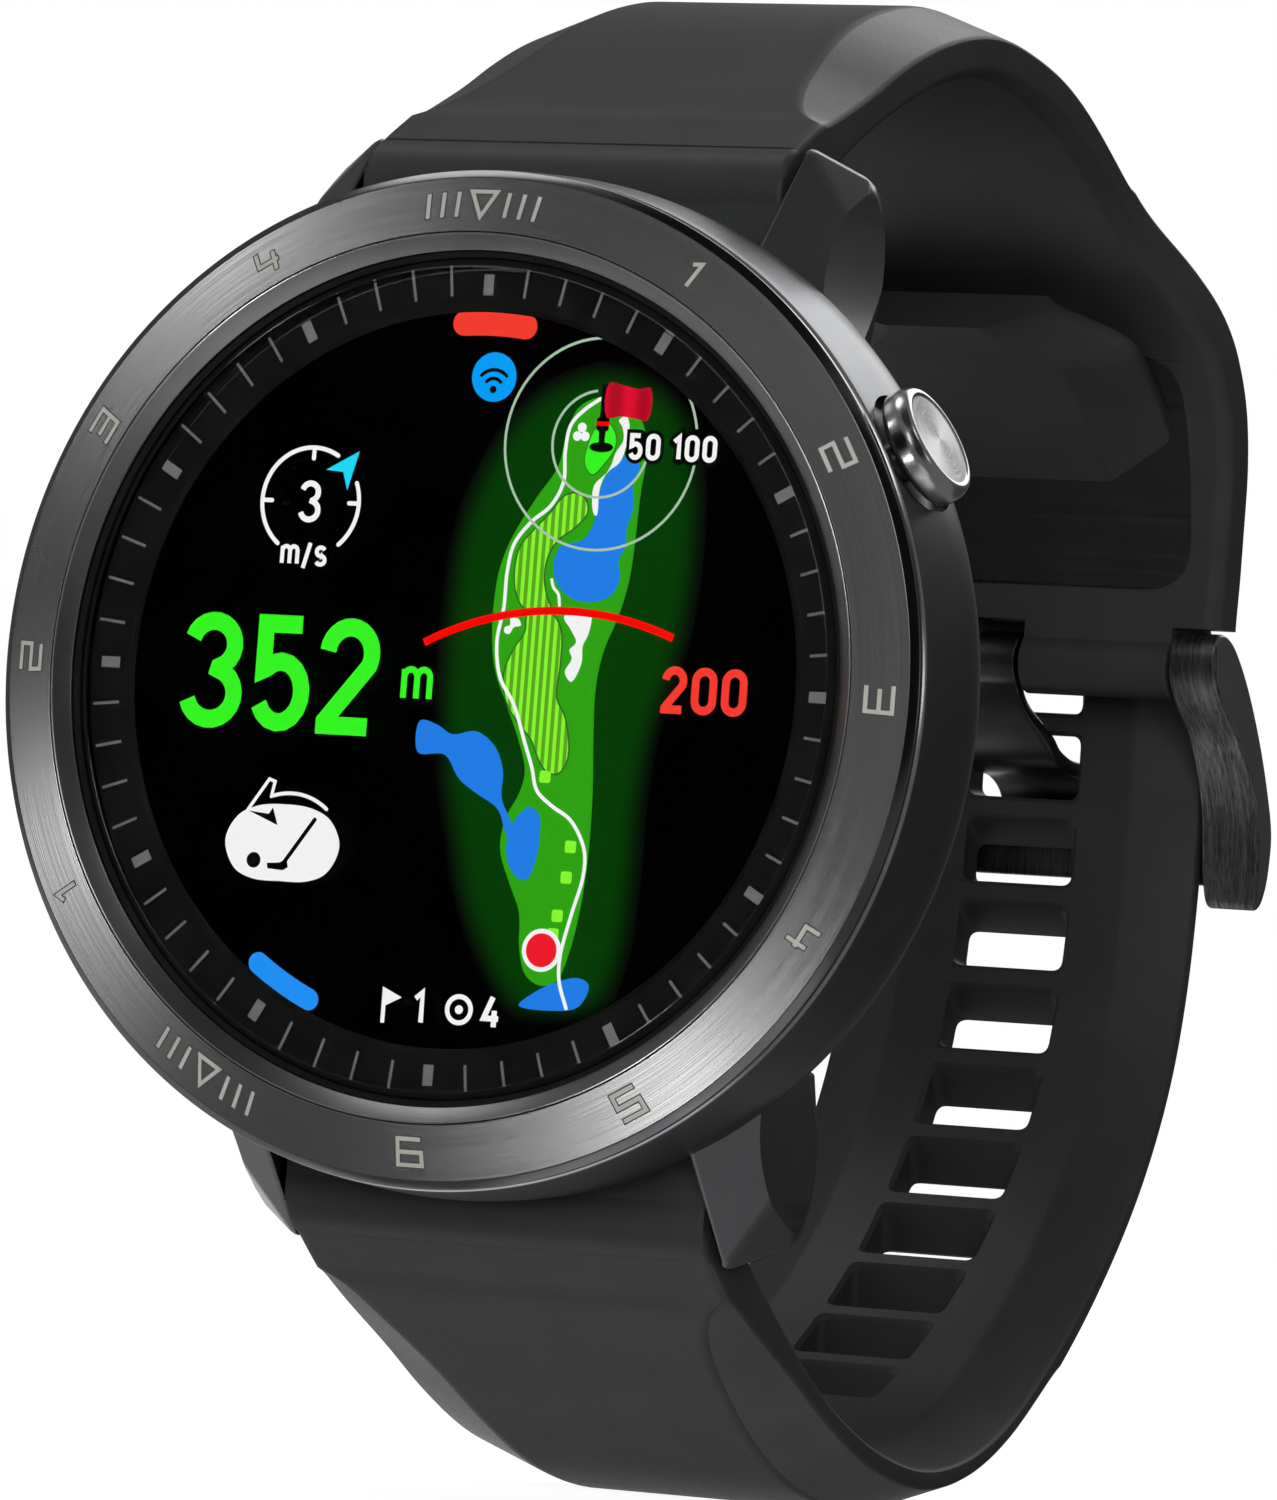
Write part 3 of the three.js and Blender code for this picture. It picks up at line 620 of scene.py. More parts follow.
def round_the_button(name, profile, segments, kinds=None):
    """A mesh turned about the button's axis, in the button's own frame."""
    turned = lathe(profile, segments, kinds)
    turned.verts = [(x, z, h) for x, h, z in turned.verts]
    return to_mesh(name, turned, local)


def make_case():
    profile = fillet(CASE_PROFILE, CASE_CORNERS, 4)
    kinds = [1 if h < CASE_RIM[0] and r > CASE_RIM[1] else 0 for r, h in profile]
    mesh = to_mesh("case_body", lathe(profile, 288, kinds))
    for sx in (-1, 1):
        for sz in (-1, 1):
            lug = boolean(lug_mesh(sx, sz), lug_scoop(sx, sz), "DIFFERENCE")
            mesh = boolean(mesh, lug, "UNION")
    recess = round_the_button("recess", [(0, RECESS_FLOOR), (RECESS_R, RECESS_FLOOR),
                                         (RECESS_R, RECESS_MOUTH), (0, RECESS_MOUTH)], 96)
    recess.transform(button_frame())
    mesh = boolean(mesh, recess, "DIFFERENCE")
    finish_piece("case_body", mesh, [CASE_METAL, RIM_METAL], "case", "case_metal", ["case_middle"], 30)


BEZEL_PROFILE = [
    (19.51, 0.0), (19.51, -1.79), (20.22, -2.34), (20.32, -2.36), (22.87, -1.63), (23.24, -1.35),
    (23.25, -1.1), (21.5, -1.1), (21.5, 0.0),
]
BEZEL_CORNERS = [0.0, 0.05, 0.05, 0.05, 0.04, 0.04, 0.04, 0.0, 0.0]
CONE_SLOPE = (2.36 - 1.63) / (22.87 - 20.32)
# Where each zone of the profile ends, and its material: lip, polished edge, cone, chamfer.
BEZEL_ZONES = [(20.19, 1), (20.37, 2), (22.86, 0), (math.inf, 3)]


def bezel_height(r):
    return -2.36 + (r - 20.32) * CONE_SLOPE


def make_bezel():
    profile = fillet(BEZEL_PROFILE, BEZEL_CORNERS, 3)
    kinds = [next(kind for end, kind in BEZEL_ZONES if (a[0] + b[0]) / 2 < end) for a, b in pairs(profile)]
    piece("bezel_ring", lathe(profile, 288, kinds), [BEZEL_METAL, LIP_METAL, POLISHED, CHAMFER_METAL],
          "case", "brushed_steel", ["bezel"], 24)


# Numerals on the bezel: centre lines in a unit square, drawn with a square pen.
NUMERALS = {
    1: [[(0.3, 0.8), (0.62, 1.0), (0.62, 0.0)]],
    2: [[(0, 1), (1, 1), (1, 0.5), (0, 0.5), (0, 0), (1, 0)]],
    3: [[(0, 1), (1, 1), (1, 0), (0, 0)], [(0.12, 0.5), (0.92, 0.5)]],
    4: [[(0.05, 1), (0.05, 0.42), (0.95, 0.42)], [(0.78, 0.8), (0.78, 0)]],
    5: [[(1, 1), (0, 1), (0, 0.5), (1, 0.5), (1, 0), (0, 0)]],
    6: [[(1, 1), (0, 1), (0, 0), (1, 0), (1, 0.5), (0.08, 0.5)]],
}
# (value, degrees clockwise from 12, upright)
BEZEL_NUMBERS = [
    (1, 30, False), (2, 60, False), (3, 90, False), (4, 120, False), (5, 150, False), (6, 180, True),
    (1, 240, False), (2, 270, False), (3, 300, False), (4, 330, False),
]
NUMBER_R = 21.6
NUMBER_SIZE = 1.18
PEN = 0.19
PAINT_LIFT = 0.012
PAINT_SUNK = -0.01
NUMBER_SHADE_RIM = 0.06
TRIANGLE = [(-0.62, 0.6), (0.62, 0.6), (0.0, -0.6)]
BAR_PLACES = (1.25, 2.0, 2.75)
BAR_HALF = 0.59


def bezel_place(degrees, upright):
    """Maps a sign's own u (to the right), v (up) and height onto the bezel's cone."""
    sign = -1 if upright else 1

    def place(u, v, h):
        r = NUMBER_R + sign * v
        a = math.radians(degrees) + sign * u / NUMBER_R
        return (r * math.sin(a), bezel_height(r) - h, r * math.cos(a))
    return place


def lengthened(points, by):
    """The same open line with both ends moved outwards."""
    pts = [Vector(p) for p in points]
    first = pts[0] + (pts[0] - pts[1]).normalized() * by
    last = pts[-1] + (pts[-1] - pts[-2]).normalized() * by
    return [first, *pts[1:-1], last]


def sign_lines(grow, lift):
    """All signs on the bezel as ribbons, each grown by a margin."""
    build = Build()

    def draw(points, place, closed=False):
        build.add(*ribbon(points, PEN + 2 * grow, PAINT_SUNK, lift, place, closed))
    for value, degrees, upright in BEZEL_NUMBERS:
        place = bezel_place(degrees, upright)
        for line in NUMERALS[value]:
            points = [((u - 0.5) * NUMBER_SIZE, (v - 0.5) * NUMBER_SIZE) for u, v in line]
            draw(lengthened(points, grow), place)
    for degrees, upright in ((0, False), (210, True)):
        place = bezel_place(degrees, upright)
        draw(TRIANGLE, place, closed=True)
        for side in (-1, 1):
            for u in BAR_PLACES:
                draw(lengthened([(side * u, -BAR_HALF), (side * u, BAR_HALF)], grow), place)
    return build


# The dark rims round the numerals are painted shade: a wider dark ribbon under each sign stands in for the
# shade on the walls of an engraving.
def make_numbers():
    for name, grow, lift, paint in (("bezel_number_shade_rims", NUMBER_SHADE_RIM, 0.6 * PAINT_LIFT, NUMBER_SHADE_RIM_PAINT),
                                    ("bezel_numbers", 0, PAINT_LIFT, NUMBER_PAINT)):
        piece(name, sign_lines(grow, lift), [paint], "case", "brushed_steel")


# ---- glass, minute ring, display ----

GLASS_PROFILE = [(0, -1.7), (18.85, -1.7), (19.2, -1.35), (19.2, -0.4), (0, -0.4)]
GLASS_ROUNDS = [0, 0.15, 0.15, 0.05, 0]
GLASS_RIM_R = 18.83
GASKET_PROFILE = [(19.2, -1.5), (19.5, -1.62), (19.5, -0.46), (19.2, -0.46)]
TRACK_PROFILE = [(16.82, -0.05), (16.82, -0.12), (17.1, -0.25), (19.1, -0.25), (19.1, -0.05)]
PANEL_PROFILE = [(0, 0), (19.05, 0), (19.1, 0.05), (19.1, 1.4), (0, 1.4)]
TICK_INNER_R = 17.57
MINUTE_OUTER_R = 18.91
HOUR_OUTER_R = 18.53
MINUTE_WIDTH = 0.13
HOUR_WIDTH = 0.5
TICK_HEIGHTS = (-0.262, -0.248)


def flat_place(x, z, y):
    return (x, y, z)


def make_glass():
    profile = fillet(GLASS_PROFILE, GLASS_ROUNDS, 4, closed=False)
    kinds = [1 if min(a[0], b[0]) > GLASS_RIM_R else 0 for a, b in pairs(profile)]
    piece("glass", lathe(profile, kinds=kinds), [GLASS, SEAL], "case", "cover_glass", ["cover_glass"], 40)
    gasket = lathe(fillet(GASKET_PROFILE, 0.06, 3))
    piece("glass_gasket", gasket, [SEAL], "case", "seal_rubber", ["glass_seal"])


def make_minute_ring():
    track = lathe(fillet(TRACK_PROFILE, 0.03, 2))
    piece("minute_track", track, [BLACK_RING], "case", "display_black", ["minute_ring"])
    ticks = Build()
    for k in range(60):
        a = TURN * k / 60
        outer, width = (HOUR_OUTER_R, HOUR_WIDTH) if k % 5 == 0 else (MINUTE_OUTER_R, MINUTE_WIDTH)
        ends = [(r * math.sin(a), r * math.cos(a)) for r in (TICK_INNER_R, outer)]
        ticks.add(*ribbon(ends, width, *TICK_HEIGHTS, flat_place))
    # The printed ticks glow a little: painted light that stands in for the light the glass keeps from
    # reaching them.
    paint = glowing("tick_paint_painted_glow", (8.0,), 0.85, (0.03, 0.03, 0.03, 1), linear(80, 80, 80),
                    linear(84, 84, 84), {"Emission Strength": 1.0, "Roughness": 0.6})
    piece("minute_marks", ticks, [paint], "case", "display_black")


def make_panel():
    panel = lathe(fillet(PANEL_PROFILE, 0.02, 2, closed=False), 128)
    piece("display_glass", panel, [BLACK_PANEL], "case", "display_black", ["display_panel"])


# ---- the picture on the display ----

SHEET = 0.012
SHEET_FILL = 0.8
SHEETS = {}

INK = {
    "white": linear(255, 255, 255),
    "green": linear(55, 255, 35),
    "red": linear(255, 62, 48),
    "arc_red": linear(255, 0, 0),
    "blue": linear(33, 150, 255),
    "icon_blue": linear(0, 165, 255),
    "cyan": linear(30, 226, 255),
    "water": linear(33, 130, 240),
    "rough": linear(0, 60, 0),
    "fairway": linear(48, 170, 15),
    "mown": linear(140, 255, 50),
    "edge": linear(50, 105, 40),
    "black": linear(0, 0, 0),
    "flag": linear(235, 10, 50),
    "lime": linear(140, 255, 50),
    "spot_red": linear(250, 25, 45),
    "circle": linear(178, 205, 178),
}


def picture_place(x, z, layer):
    return (x, -SHEET * layer, z)


class Picture:
    """Flat lit shapes, stacked in thin sheets above the panel. One piece, one material for each ink."""

    def __init__(self, name):
        self.name = name
        self.build = Build()
        self.inks = []

    def kind(self, ink):
        if ink not in self.inks:
            self.inks.append(ink)
        return self.inks.index(ink)

    def fill(self, outline, ink, layer):
        self.build.add(*prism(outline, layer, layer + SHEET_FILL, picture_place), self.kind(ink))

    def blob(self, points, ink, layer, steps=5):
        self.fill(catmull(points, steps, closed=True), ink, layer)

    def line(self, points, width, ink, layer, closed=False, round_ends=True):
        made = ribbon(points, width, layer, layer + SHEET_FILL, picture_place, closed)
        self.build.add(*made, self.kind(ink))
        if round_ends and not closed:
            for x, z in (points[0], points[-1]):
                self.fill(arc(x, z, width / 2, 0, 345, 23), ink, layer)

    def disc(self, x, z, radius, ink, layer):
        self.fill(arc(x, z, radius, 0, 352.5, 47), ink, layer)

    def text(self, text, x, z, height, pen, ink, layer, halo=0.0, gap=0.3):
        """Digits and a few letters drawn with a round pen. x is the left end, z the foot."""
        for sign in text:
            if sign == " ":
                x += height * 0.34
                continue
            strokes, wide = GLYPHS[sign]
            for stroke in strokes:
                span = height - pen
                points = [(x + pen / 2 + u * span, z + pen / 2 + v * span) for u, v in stroke]
                closed = (Vector(points[0]) - Vector(points[-1])).length < 1e-6
                points = points[:-1] if closed else points
                if halo:
                    self.line(points, pen + 2 * halo, "black", layer - 1, closed)
                self.line(points, pen, ink, layer, closed, round_ends=False)
            x += wide * (height - pen) + pen + gap * pen

    def finish(self):
        for ink in self.inks:
            if ink not in SHEETS:
                shade = {"mown": stripes, "rough": edge_fade, "flag": flag_folds}.get(ink)
                SHEETS[ink] = lit(f"lit_{ink}", INK[ink], shade)
        return piece(self.name, self.build, [SHEETS[k] for k in self.inks], "case", "display_black")


DIGIT = 0.5
RING_0 = bowl(0.25, 0.75, 0.25, 0.25, 180, 0) + bowl(0.25, 0.25, 0.25, 0.25, 0, -180)
# Each sign: its strokes in a square of side 1, and how wide it is.
GLYPHS = {
    "0": ([RING_0 + RING_0[:1]], DIGIT),
    "1": ([[(0.0, 0.78), (0.24, 1.0), (0.24, 0.0)]], 0.26),
    "2": ([bowl(0.25, 0.73, 0.25, 0.27, 175, -25) + [(0.44, 0.57), (0.01, 0.04), (0.01, 0.0), (DIGIT, 0.0)]],
          DIGIT),
    "3": ([bowl(0.25, 0.76, 0.245, 0.24, 165, -72) + bowl(0.25, 0.26, 0.27, 0.26, 75, -165)], 0.52),
    "4": ([[(0.3, 1.0), (0.0, 0.28), (0.54, 0.28)], [(0.38, 0.55), (0.38, 0.0)]], 0.54),
    "5": ([[(0.46, 1.0), (0.05, 1.0), (0.05, 0.53)] + bowl(0.25, 0.31, 0.25, 0.31, 130, -155)], DIGIT),
    "m": ([[(0.0, 0.0), (0.0, 1.0)], bowl(0.25, 0.72, 0.25, 0.28, 180, 0) + [(0.5, 0.0)],
           bowl(0.75, 0.72, 0.25, 0.28, 180, 0) + [(1.0, 0.0)]], 1.0),
    "s": ([bowl(0.3, 0.75, 0.27, 0.25, 25, 270, 12) + bowl(0.3, 0.25, 0.29, 0.25, 90, -155, 12)], 0.58),
    "/": ([[(0.0, -0.25), (0.4, 1.25)]], 0.4),
}

FAIRWAY = [
    (6.1, 13.15), (7.3, 12.8), (8.2, 12.0), (8.5, 10.5), (8.35, 8.8), (8.25, 6.5), (8.1, 4.8), (7.7, 3.2),
    (7.1, 1.6), (6.85, 0.0), (6.9, -2.0), (7.1, -5.0), (7.1, -8.0), (6.9, -10.2), (6.5, -12.2),
    (6.0, -13.4), (5.2, -13.65), (4.4, -13.2), (4.0, -12.0), (3.85, -10.4), (3.2, -9.0), (2.65, -7.6),
    (2.8, -6.2), (3.4, -5.0), (3.6, -4.0), (3.2, -2.7), (2.4, -1.0), (1.7, 0.5), (1.42, 2.0), (1.38, 3.6),
    (1.55, 5.2), (2.1, 6.7), (3.1, 8.4), (4.1, 9.9), (4.4, 11.3), (4.9, 12.6),
]
ROUGH = [
    (6.6, 14.0), (8.8, 13.3), (10.3, 11.6), (10.9, 9.0), (11.0, 5.5), (10.6, 2.0), (9.6, -1.5),
    (9.15, -5.0), (9.1, -9.0), (8.8, -12.2), (8.0, -14.1), (6.2, -14.6), (4.1, -14.4), (2.6, -12.6),
    (1.3, -10.0), (0.45, -7.0), (-0.2, -4.0), (-0.55, -0.5), (-0.55, 3.5), (-0.2, 7.0), (0.9, 10.0),
    (2.6, 12.4), (4.5, 13.6),
]
ROUGH_FADE = 0.75
UPPER_STRIPES = [
    (5.0, 8.7), (5.55, 8.5), (5.75, 7.9), (5.2, 7.2), (4.4, 6.6), (3.95, 5.9), (3.8, 4.9), (4.0, 4.0),
    (4.25, 3.4), (3.0, 3.4), (2.5, 4.1), (2.35, 5.2), (2.55, 6.2), (3.2, 7.0), (3.95, 7.8), (4.5, 8.5),
]
LOWER_STRIPES = [
    (4.3, 3.2), (4.85, 2.5), (4.95, 1.0), (4.9, -0.6), (5.4, -1.5), (5.7, -3.2), (5.35, -3.95),
    (4.85, -4.0), (4.4, -3.6), (3.8, -2.5), (3.0, -1.7), (2.35, -0.7), (2.2, 0.4), (2.6, 1.5), (3.1, 2.3),
    (3.2, 3.2),
]
PUTTING_GREEN = [
    (6.4, 12.0), (6.85, 11.5), (6.9, 10.9), (6.4, 10.1), (5.85, 9.6), (5.45, 10.1), (5.6, 11.1),
    (5.95, 11.8),
]
LAKE = [
    (7.45, 10.5), (8.2, 10.2), (7.95, 9.2), (8.05, 8.2), (7.8, 7.2), (7.8, 6.4), (7.5, 5.7), (7.65, 5.0),
    (7.3, 4.2), (6.4, 3.82), (5.3, 3.95), (4.5, 4.6), (4.25, 5.5), (4.6, 6.3), (5.6, 6.6), (6.1, 7.3),
    (6.25, 8.6), (6.6, 9.6),
]
CREEK_POND = [
    (-1.9, -1.95), (-1.0, -2.1), (-0.2, -2.5), (1.0, -2.3), (2.0, -2.95), (2.5, -4.0), (2.55, -5.3),
    (3.15, -6.5), (2.95, -6.95), (2.4, -5.8), (1.2, -5.1), (0.3, -4.5), (-0.5, -3.45), (-1.9, -3.4),
]
SMALL_POND = [
    (3.95, -5.6), (4.5, -5.95), (4.6, -6.6), (4.5, -8.0), (4.1, -8.9), (3.5, -8.75), (3.0, -7.8),
    (3.1, -6.6),
]
END_POND = [
    (4.2, -14.6), (4.9, -14.0), (6.0, -13.45), (7.1, -13.2), (7.65, -13.5), (7.2, -14.5), (5.8, -14.75),
]
PATH_LINE = [
    (6.0, 13.05), (5.2, 12.5), (4.6, 11.8), (4.42, 10.6), (4.45, 9.2), (3.9, 8.1), (3.0, 7.35), (2.2, 6.3),
    (1.95, 5.0), (1.92, 3.4), (1.7, 1.8), (2.0, 0.2), (2.8, -1.0), (3.5, -2.7), (3.95, -3.8),
    (4.3, -4.85), (5.1, -5.5), (6.1, -6.1), (6.9, -7.4), (6.95, -8.6), (6.5, -10.4), (6.1, -12.3),
    (6.15, -13.4), (6.6, -14.6),
]
GREENSIDE_BUNKER = [
    (7.0, 12.1), (7.35, 12.3), (7.55, 11.9), (7.45, 10.9), (7.2, 10.2), (6.6, 9.7), (6.3, 9.0), (6.25, 7.75),
    (6.1, 7.8), (6.0, 9.1), (6.7, 9.8), (6.95, 10.6), (7.3, 11.2), (7.2, 11.8),
]
LONG_BUNKER = [
    (5.9, 3.5), (6.35, 3.3), (6.3, 2.4), (6.05, 1.8), (6.05, 1.0), (5.6, 0.15), (5.25, 0.6), (5.55, 1.2),
    (5.4, 1.6), (5.7, 1.95), (5.4, 2.5), (5.0, 3.1),
]
SMALL_BUNKER = [
    (2.05, 2.25), (2.3, 2.2), (2.5, 2.5), (2.85, 2.6), (2.7, 2.9), (2.3, 2.9), (2.3, 2.6), (2.05, 2.5),
]
TEES = [(4.65, -4.2), (6.2, -7.3), (6.1, -8.7), (5.8, -10.45), (5.65, -11.3)]
FLAG_CLOTH = [
    (6.4, 13.78), (7.2, 13.68), (7.9, 13.55), (8.5, 13.62), (8.47, 12.15), (7.8, 12.2), (7.1, 12.28),
    (6.4, 12.2),
]
HOLE_RINGS = (6.18, 11.0)
BALL = (5.15, -12.05)


def shrink(outline, distance):
    left, right = offsets(outline, 2 * distance, True)
    middle = sum((Vector(p) for p in outline), Vector((0, 0))) / len(outline)
    inner = left if (left[0] - middle).length < (right[0] - middle).length else right
    outer = right if inner is left else left
    return inner, outer


def rounded_square(x, z, side, corner):
    h = side / 2
    return fillet([(x - h, z - h), (x + h, z - h), (x + h, z + h), (x - h, z + h)], corner, 4)


def faded_ground(picture, outline, ink):
    """A shape whose border fades out over a soft edge."""
    smooth_edge = catmull(outline, 5, closed=True)
    inner, outer = shrink(smooth_edge, ROUGH_FADE)
    n = len(inner)
    verts = [picture_place(p.x, p.y, SHEET_FILL) for p in [*inner, *outer]]
    verts += [picture_place(p.x, p.y, 0.0) for p in [*inner, *outer]]
    faces = [list(range(n)), list(range(2 * n, 3 * n))]
    for i in range(n):
        j = (i + 1) % n
        faces += [[i, j, n + j, n + i], [2 * n + i, 2 * n + j, 3 * n + j, 3 * n + i]]
        faces.append([n + i, n + j, 3 * n + j, 3 * n + i])
    fades = ([1.0] * n + [0.0] * n) * 2
    picture.build.add(verts, faces, picture.kind(ink), fades)


def draw_hole_map():
    p = Picture("hole_map")
    faded_ground(p, ROUGH, "rough")
    p.blob(FAIRWAY, "fairway", 1)
    for outline in (UPPER_STRIPES, LOWER_STRIPES):
        around = catmull(outline, 5, closed=True)
        p.line(around, 0.16, "edge", 2, closed=True)
        p.fill(around, "mown", 3)
    for pond in (LAKE, CREEK_POND, SMALL_POND, END_POND):
        p.blob(pond, "water", 3)
    green = catmull(PUTTING_GREEN, 5, closed=True)
    p.line(green, 0.1, "edge", 2, closed=True)
    p.fill(green, "green", 3)
    p.line(catmull(PATH_LINE, 6), 0.17, "white", 4)
    for bunker in (GREENSIDE_BUNKER, LONG_BUNKER, SMALL_BUNKER):
        p.blob(bunker, "white", 4)
    for x, z in ((5.18, 11.72), (4.97, 11.32), (5.36, 11.32)):
        p.disc(x, z, 0.22, "white", 4)
    p.line(catmull([(4.23, 4.75), (4.35, 4.4), (4.62, 4.1), (4.72, 3.6)], 4), 0.14, "white", 4)
    for x, z in TEES:
        p.fill(rounded_square(x, z, 0.56, 0.12), "lime", 3)
    p.disc(*BALL, 0.98, "white", 5)
    p.disc(*BALL, 0.77, "spot_red", 6)
    for radius, ends in ((4.83, (10, 352)), (2.43, (98, 350)), (2.43, (28, 40))):
        p.line(arc(*HOLE_RINGS, radius, *ends, 72), 0.12, "circle", 5, round_ends=False)
    mesh_piece = p.finish()
    fade = mesh_piece.data.attributes.new("fade", "FLOAT", "POINT")
    fade.data.foreach_set("value", p.build.fades)


def draw_flag():
    p = Picture("hole_flag")
    p.fill([(6.05, 13.72), (6.42, 13.72), (6.42, 12.0), (6.05, 12.0)], "black", 6)
    p.fill(rounded_square(6.22, 11.9, 0.62, 0.12), "black", 6)
    p.fill([(6.05, 11.6), (6.4, 11.6), (6.36, 11.05), (6.09, 11.05)], "black", 7)
    p.fill(bowl(6.23, 10.85, 0.6, 0.23, 0, 345, 23), "black", 7)
    p.line([(5.98, 11.92), (6.47, 11.92)], 0.2, "arc_red", 8)
    p.blob(FLAG_CLOTH, "flag", 8, 4)
    p.finish()


def draw_readings():
    p = Picture("distance_readings")
    p.text("352", -14.37, -2.81, 5.37, 0.83, "green", 6, gap=0.48)
    p.text("m", -3.0, -1.11, 1.62, 0.3, "green", 7, halo=0.2)
    p.text("200", 10.16, -1.05, 2.15, 0.38, "red", 6, gap=0.62)
    p.text("50 100", 7.6, 10.33, 1.22, 0.22, "white", 8, halo=0.17, gap=0.75)
    p.line(arc(5.1, -12.0, 15.35, 117.5, 69.2, 40), 0.36, "arc_red", 6, round_ends=False)
    p.finish()


def draw_wind():
    p = Picture("wind_gauge")
    cx, cz = -8.41, 7.83
    for ends in ((-50, 22), (60, 232)):
        p.line(arc(cx, cz, 2.5, *ends, 40), 0.2, "white", 2)
    for degrees in (0, 90, 180):
        a = math.radians(degrees)
        p.line([(cx + r * math.cos(a), cz + r * math.sin(a)) for r in (2.45, 2.0)], 0.2, "white", 2)
    p.fill([(-6.06, 10.24), (-7.72, 9.33), (-6.83, 9.26), (-6.56, 8.42)], "cyan", 3)
    p.text("3", -9.0, 6.87, 1.94, 0.27, "white", 2)
    p.text("m/s", -9.76, 4.86, 0.98, 0.2, "white", 2, gap=0.65)
    p.finish()


def draw_icons():
    p = Picture("status_icons")
    p.line(arc(0, 0, 16.33, 94.2, 83.2, 14), 1.16, "red", 2)
    p.line(arc(0, 0, 16.33, 246.5, 235.5, 14), 1.0, "blue", 2)
    p.disc(0.52, 13.87, 1.13, "icon_blue", 2)
    p.disc(0.52, 13.3, 0.17, "black", 4)
    for radius in (0.5, 0.9):
        p.line(arc(0.52, 13.3, radius, 45, 135, 12), 0.17, "black", 4)
    cloud = [
        (-11.46, -7.9), (-10.9, -6.75), (-9.9, -6.25), (-8.5, -6.12), (-7.1, -6.25), (-6.1, -6.75),
        (-5.54, -7.9), (-6.1, -9.15), (-7.1, -9.6), (-8.5, -9.65), (-9.9, -9.6), (-10.9, -9.15),
    ]
    p.blob(cloud, "white", 2)
    p.line(arc(-8.2, -8.6, 3.0, 52, 108, 16), 0.17, "white", 2)
    arrow = [(-10.4, -6.45), (-9.4, -5.0), (-9.1, -5.1), (-9.24, -5.8)]
    p.line(arrow, 0.15, "white", 3)
    p.fill([(-10.35, -6.5), (-9.3, -6.6), (-9.1, -6.3), (-8.8, -7.1)], "black", 4)
    p.line([(-6.9, -6.75), (-8.3, -8.75)], 0.2, "black", 4)
    club = [(-8.2, -8.6), (-8.1, -9.0), (-8.35, -9.15), (-9.15, -9.1), (-9.2, -8.85), (-8.55, -8.8)]
    p.fill(club, "black", 4)
    p.disc(-9.9, -8.75, 0.36, "black", 4)
    p.finish()


def draw_hole_info():
    p = Picture("hole_info")
    p.fill([(-2.75, -14.15), (-2.75, -15.8), (-2.55, -15.8), (-2.55, -15.0), (-1.75, -14.6)], "white", 2)
    p.text("1", -1.15, -15.8, 1.62, 0.24, "white", 2)
    p.line(arc(1.2, -14.98, 0.6, 0, 345, 23), 0.22, "white", 2, closed=True)
    p.disc(1.2, -14.98, 0.2, "white", 2)
    p.text("4", 2.35, -15.8, 1.62, 0.26, "white", 2)
    p.finish()


# ---- button ----

BUTTON_PROFILE = [
    (0, 19.9), (1.0, 19.9), (1.0, 23.45), (2.6, 23.45), (2.8, 23.65), (2.8, 24.45), (2.55, 24.86),
    (2.3, 24.9), (2.2, 24.82), (0, 24.86),
]
BUTTON_ROUNDS = [0, 0.1, 0.1, 0.1, 0.15, 0.2, 0.15, 0.08, 0.05, 0]
# The spun face: what lies inside this radius and beyond this distance from the dial's axis.
BUTTON_FACE = (2.2, 24)


def make_button():
    profile = fillet(BUTTON_PROFILE, BUTTON_ROUNDS, 4, closed=False)
    kinds = [0 if (a[0] + b[0]) / 2 < BUTTON_FACE[0] and a[1] > BUTTON_FACE[1] else 1
             for a, b in pairs(profile)]
    mesh = round_the_button("button_cap", profile, 128, kinds)
    finish_piece("button_cap", mesh, [BUTTON_FACE_METAL, POLISHED], "button", "button_steel", ["button"],
                 28, button_frame())


# ---- strap ----

UPPER_PATH = [
    (9.9, 23.2), (15.2, 26.6), (20.0, 29.0), (25.2, 31.0), (30.1, 31.9), (35.0, 31.5), (40.0, 30.2),
    (45.2, 27.9), (49.4, 25.4), (52.6, 23.4), (55.2, 21.3), (57.1, 18.9), (58.3, 16.2), (59.0, 13.4),
    (59.5, 10.6), (59.6, 8.0),
]
LOWER_PATH = [
    (9.9, -23.2), (14.2, -26.4), (18.8, -29.0), (23.6, -31.2), (28.6, -32.9), (34.0, -33.7),
    (39.4, -33.2), (44.5, -31.6), (49.3, -29.0), (53.8, -25.8), (57.5, -22.2), (60.5, -18.2),
    (62.5, -14.2), (63.6, -10.0), (64.1, -5.0), (64.1, 0.0), (63.9, 4.5), (63.1, 8.4), (61.2, 12.4),
    (58.5, 15.3), (55.4, 17.8), (52.0, 20.0), (48.5, 21.8),
]
LUG_BAR = (8.9, 23.6)
STRAP_LUG_HALF = 10.8
ROLL_R = 2.2
SHOULDER = (6.8, 22.6)
UPPER_WIDE_HALF = 12.8
UPPER_END_HALF = 12.1
LOWER_TAIL_HALF = 9.5
CROWN = 1.3
RIM_DIP = 0.7
FACET_WIDTH = 3.6
# Where along each half the broad face swells up between its side facets.
UPPER_SWELL = (0.05, 0.62)
LOWER_SWELL = (0.03, 0.42)
EDGE_HEIGHT = 2.9
EDGE_THINNING = 0.9
# Radii at the inner rim, the lower side, the upper side and the crown line of the section.
SECTION_ROUNDS = (0.25, 0.25, 0.22, 0.3)
# Width and height of the bevel along the inner rim: everywhere, and where the lower half is bevelled.
PLAIN_BEVEL = (0.7, 0.42)
INNER_BEVEL = (3.5, 1.15)
HOLE_COUNT = 11
HOLE_PITCH = 4.4
HOLE_FIRST_Z = 5.2
HOLE_HALF = 3.05
HOLE_HEIGHT = 3.3
HOLE_CEILING_DROP = 1.45
HOLE_IN_USE = 1
HOLE_CORNER = 0.55
HOLE_DEPTH = 2.12
LUG_BORE_R = 1.2
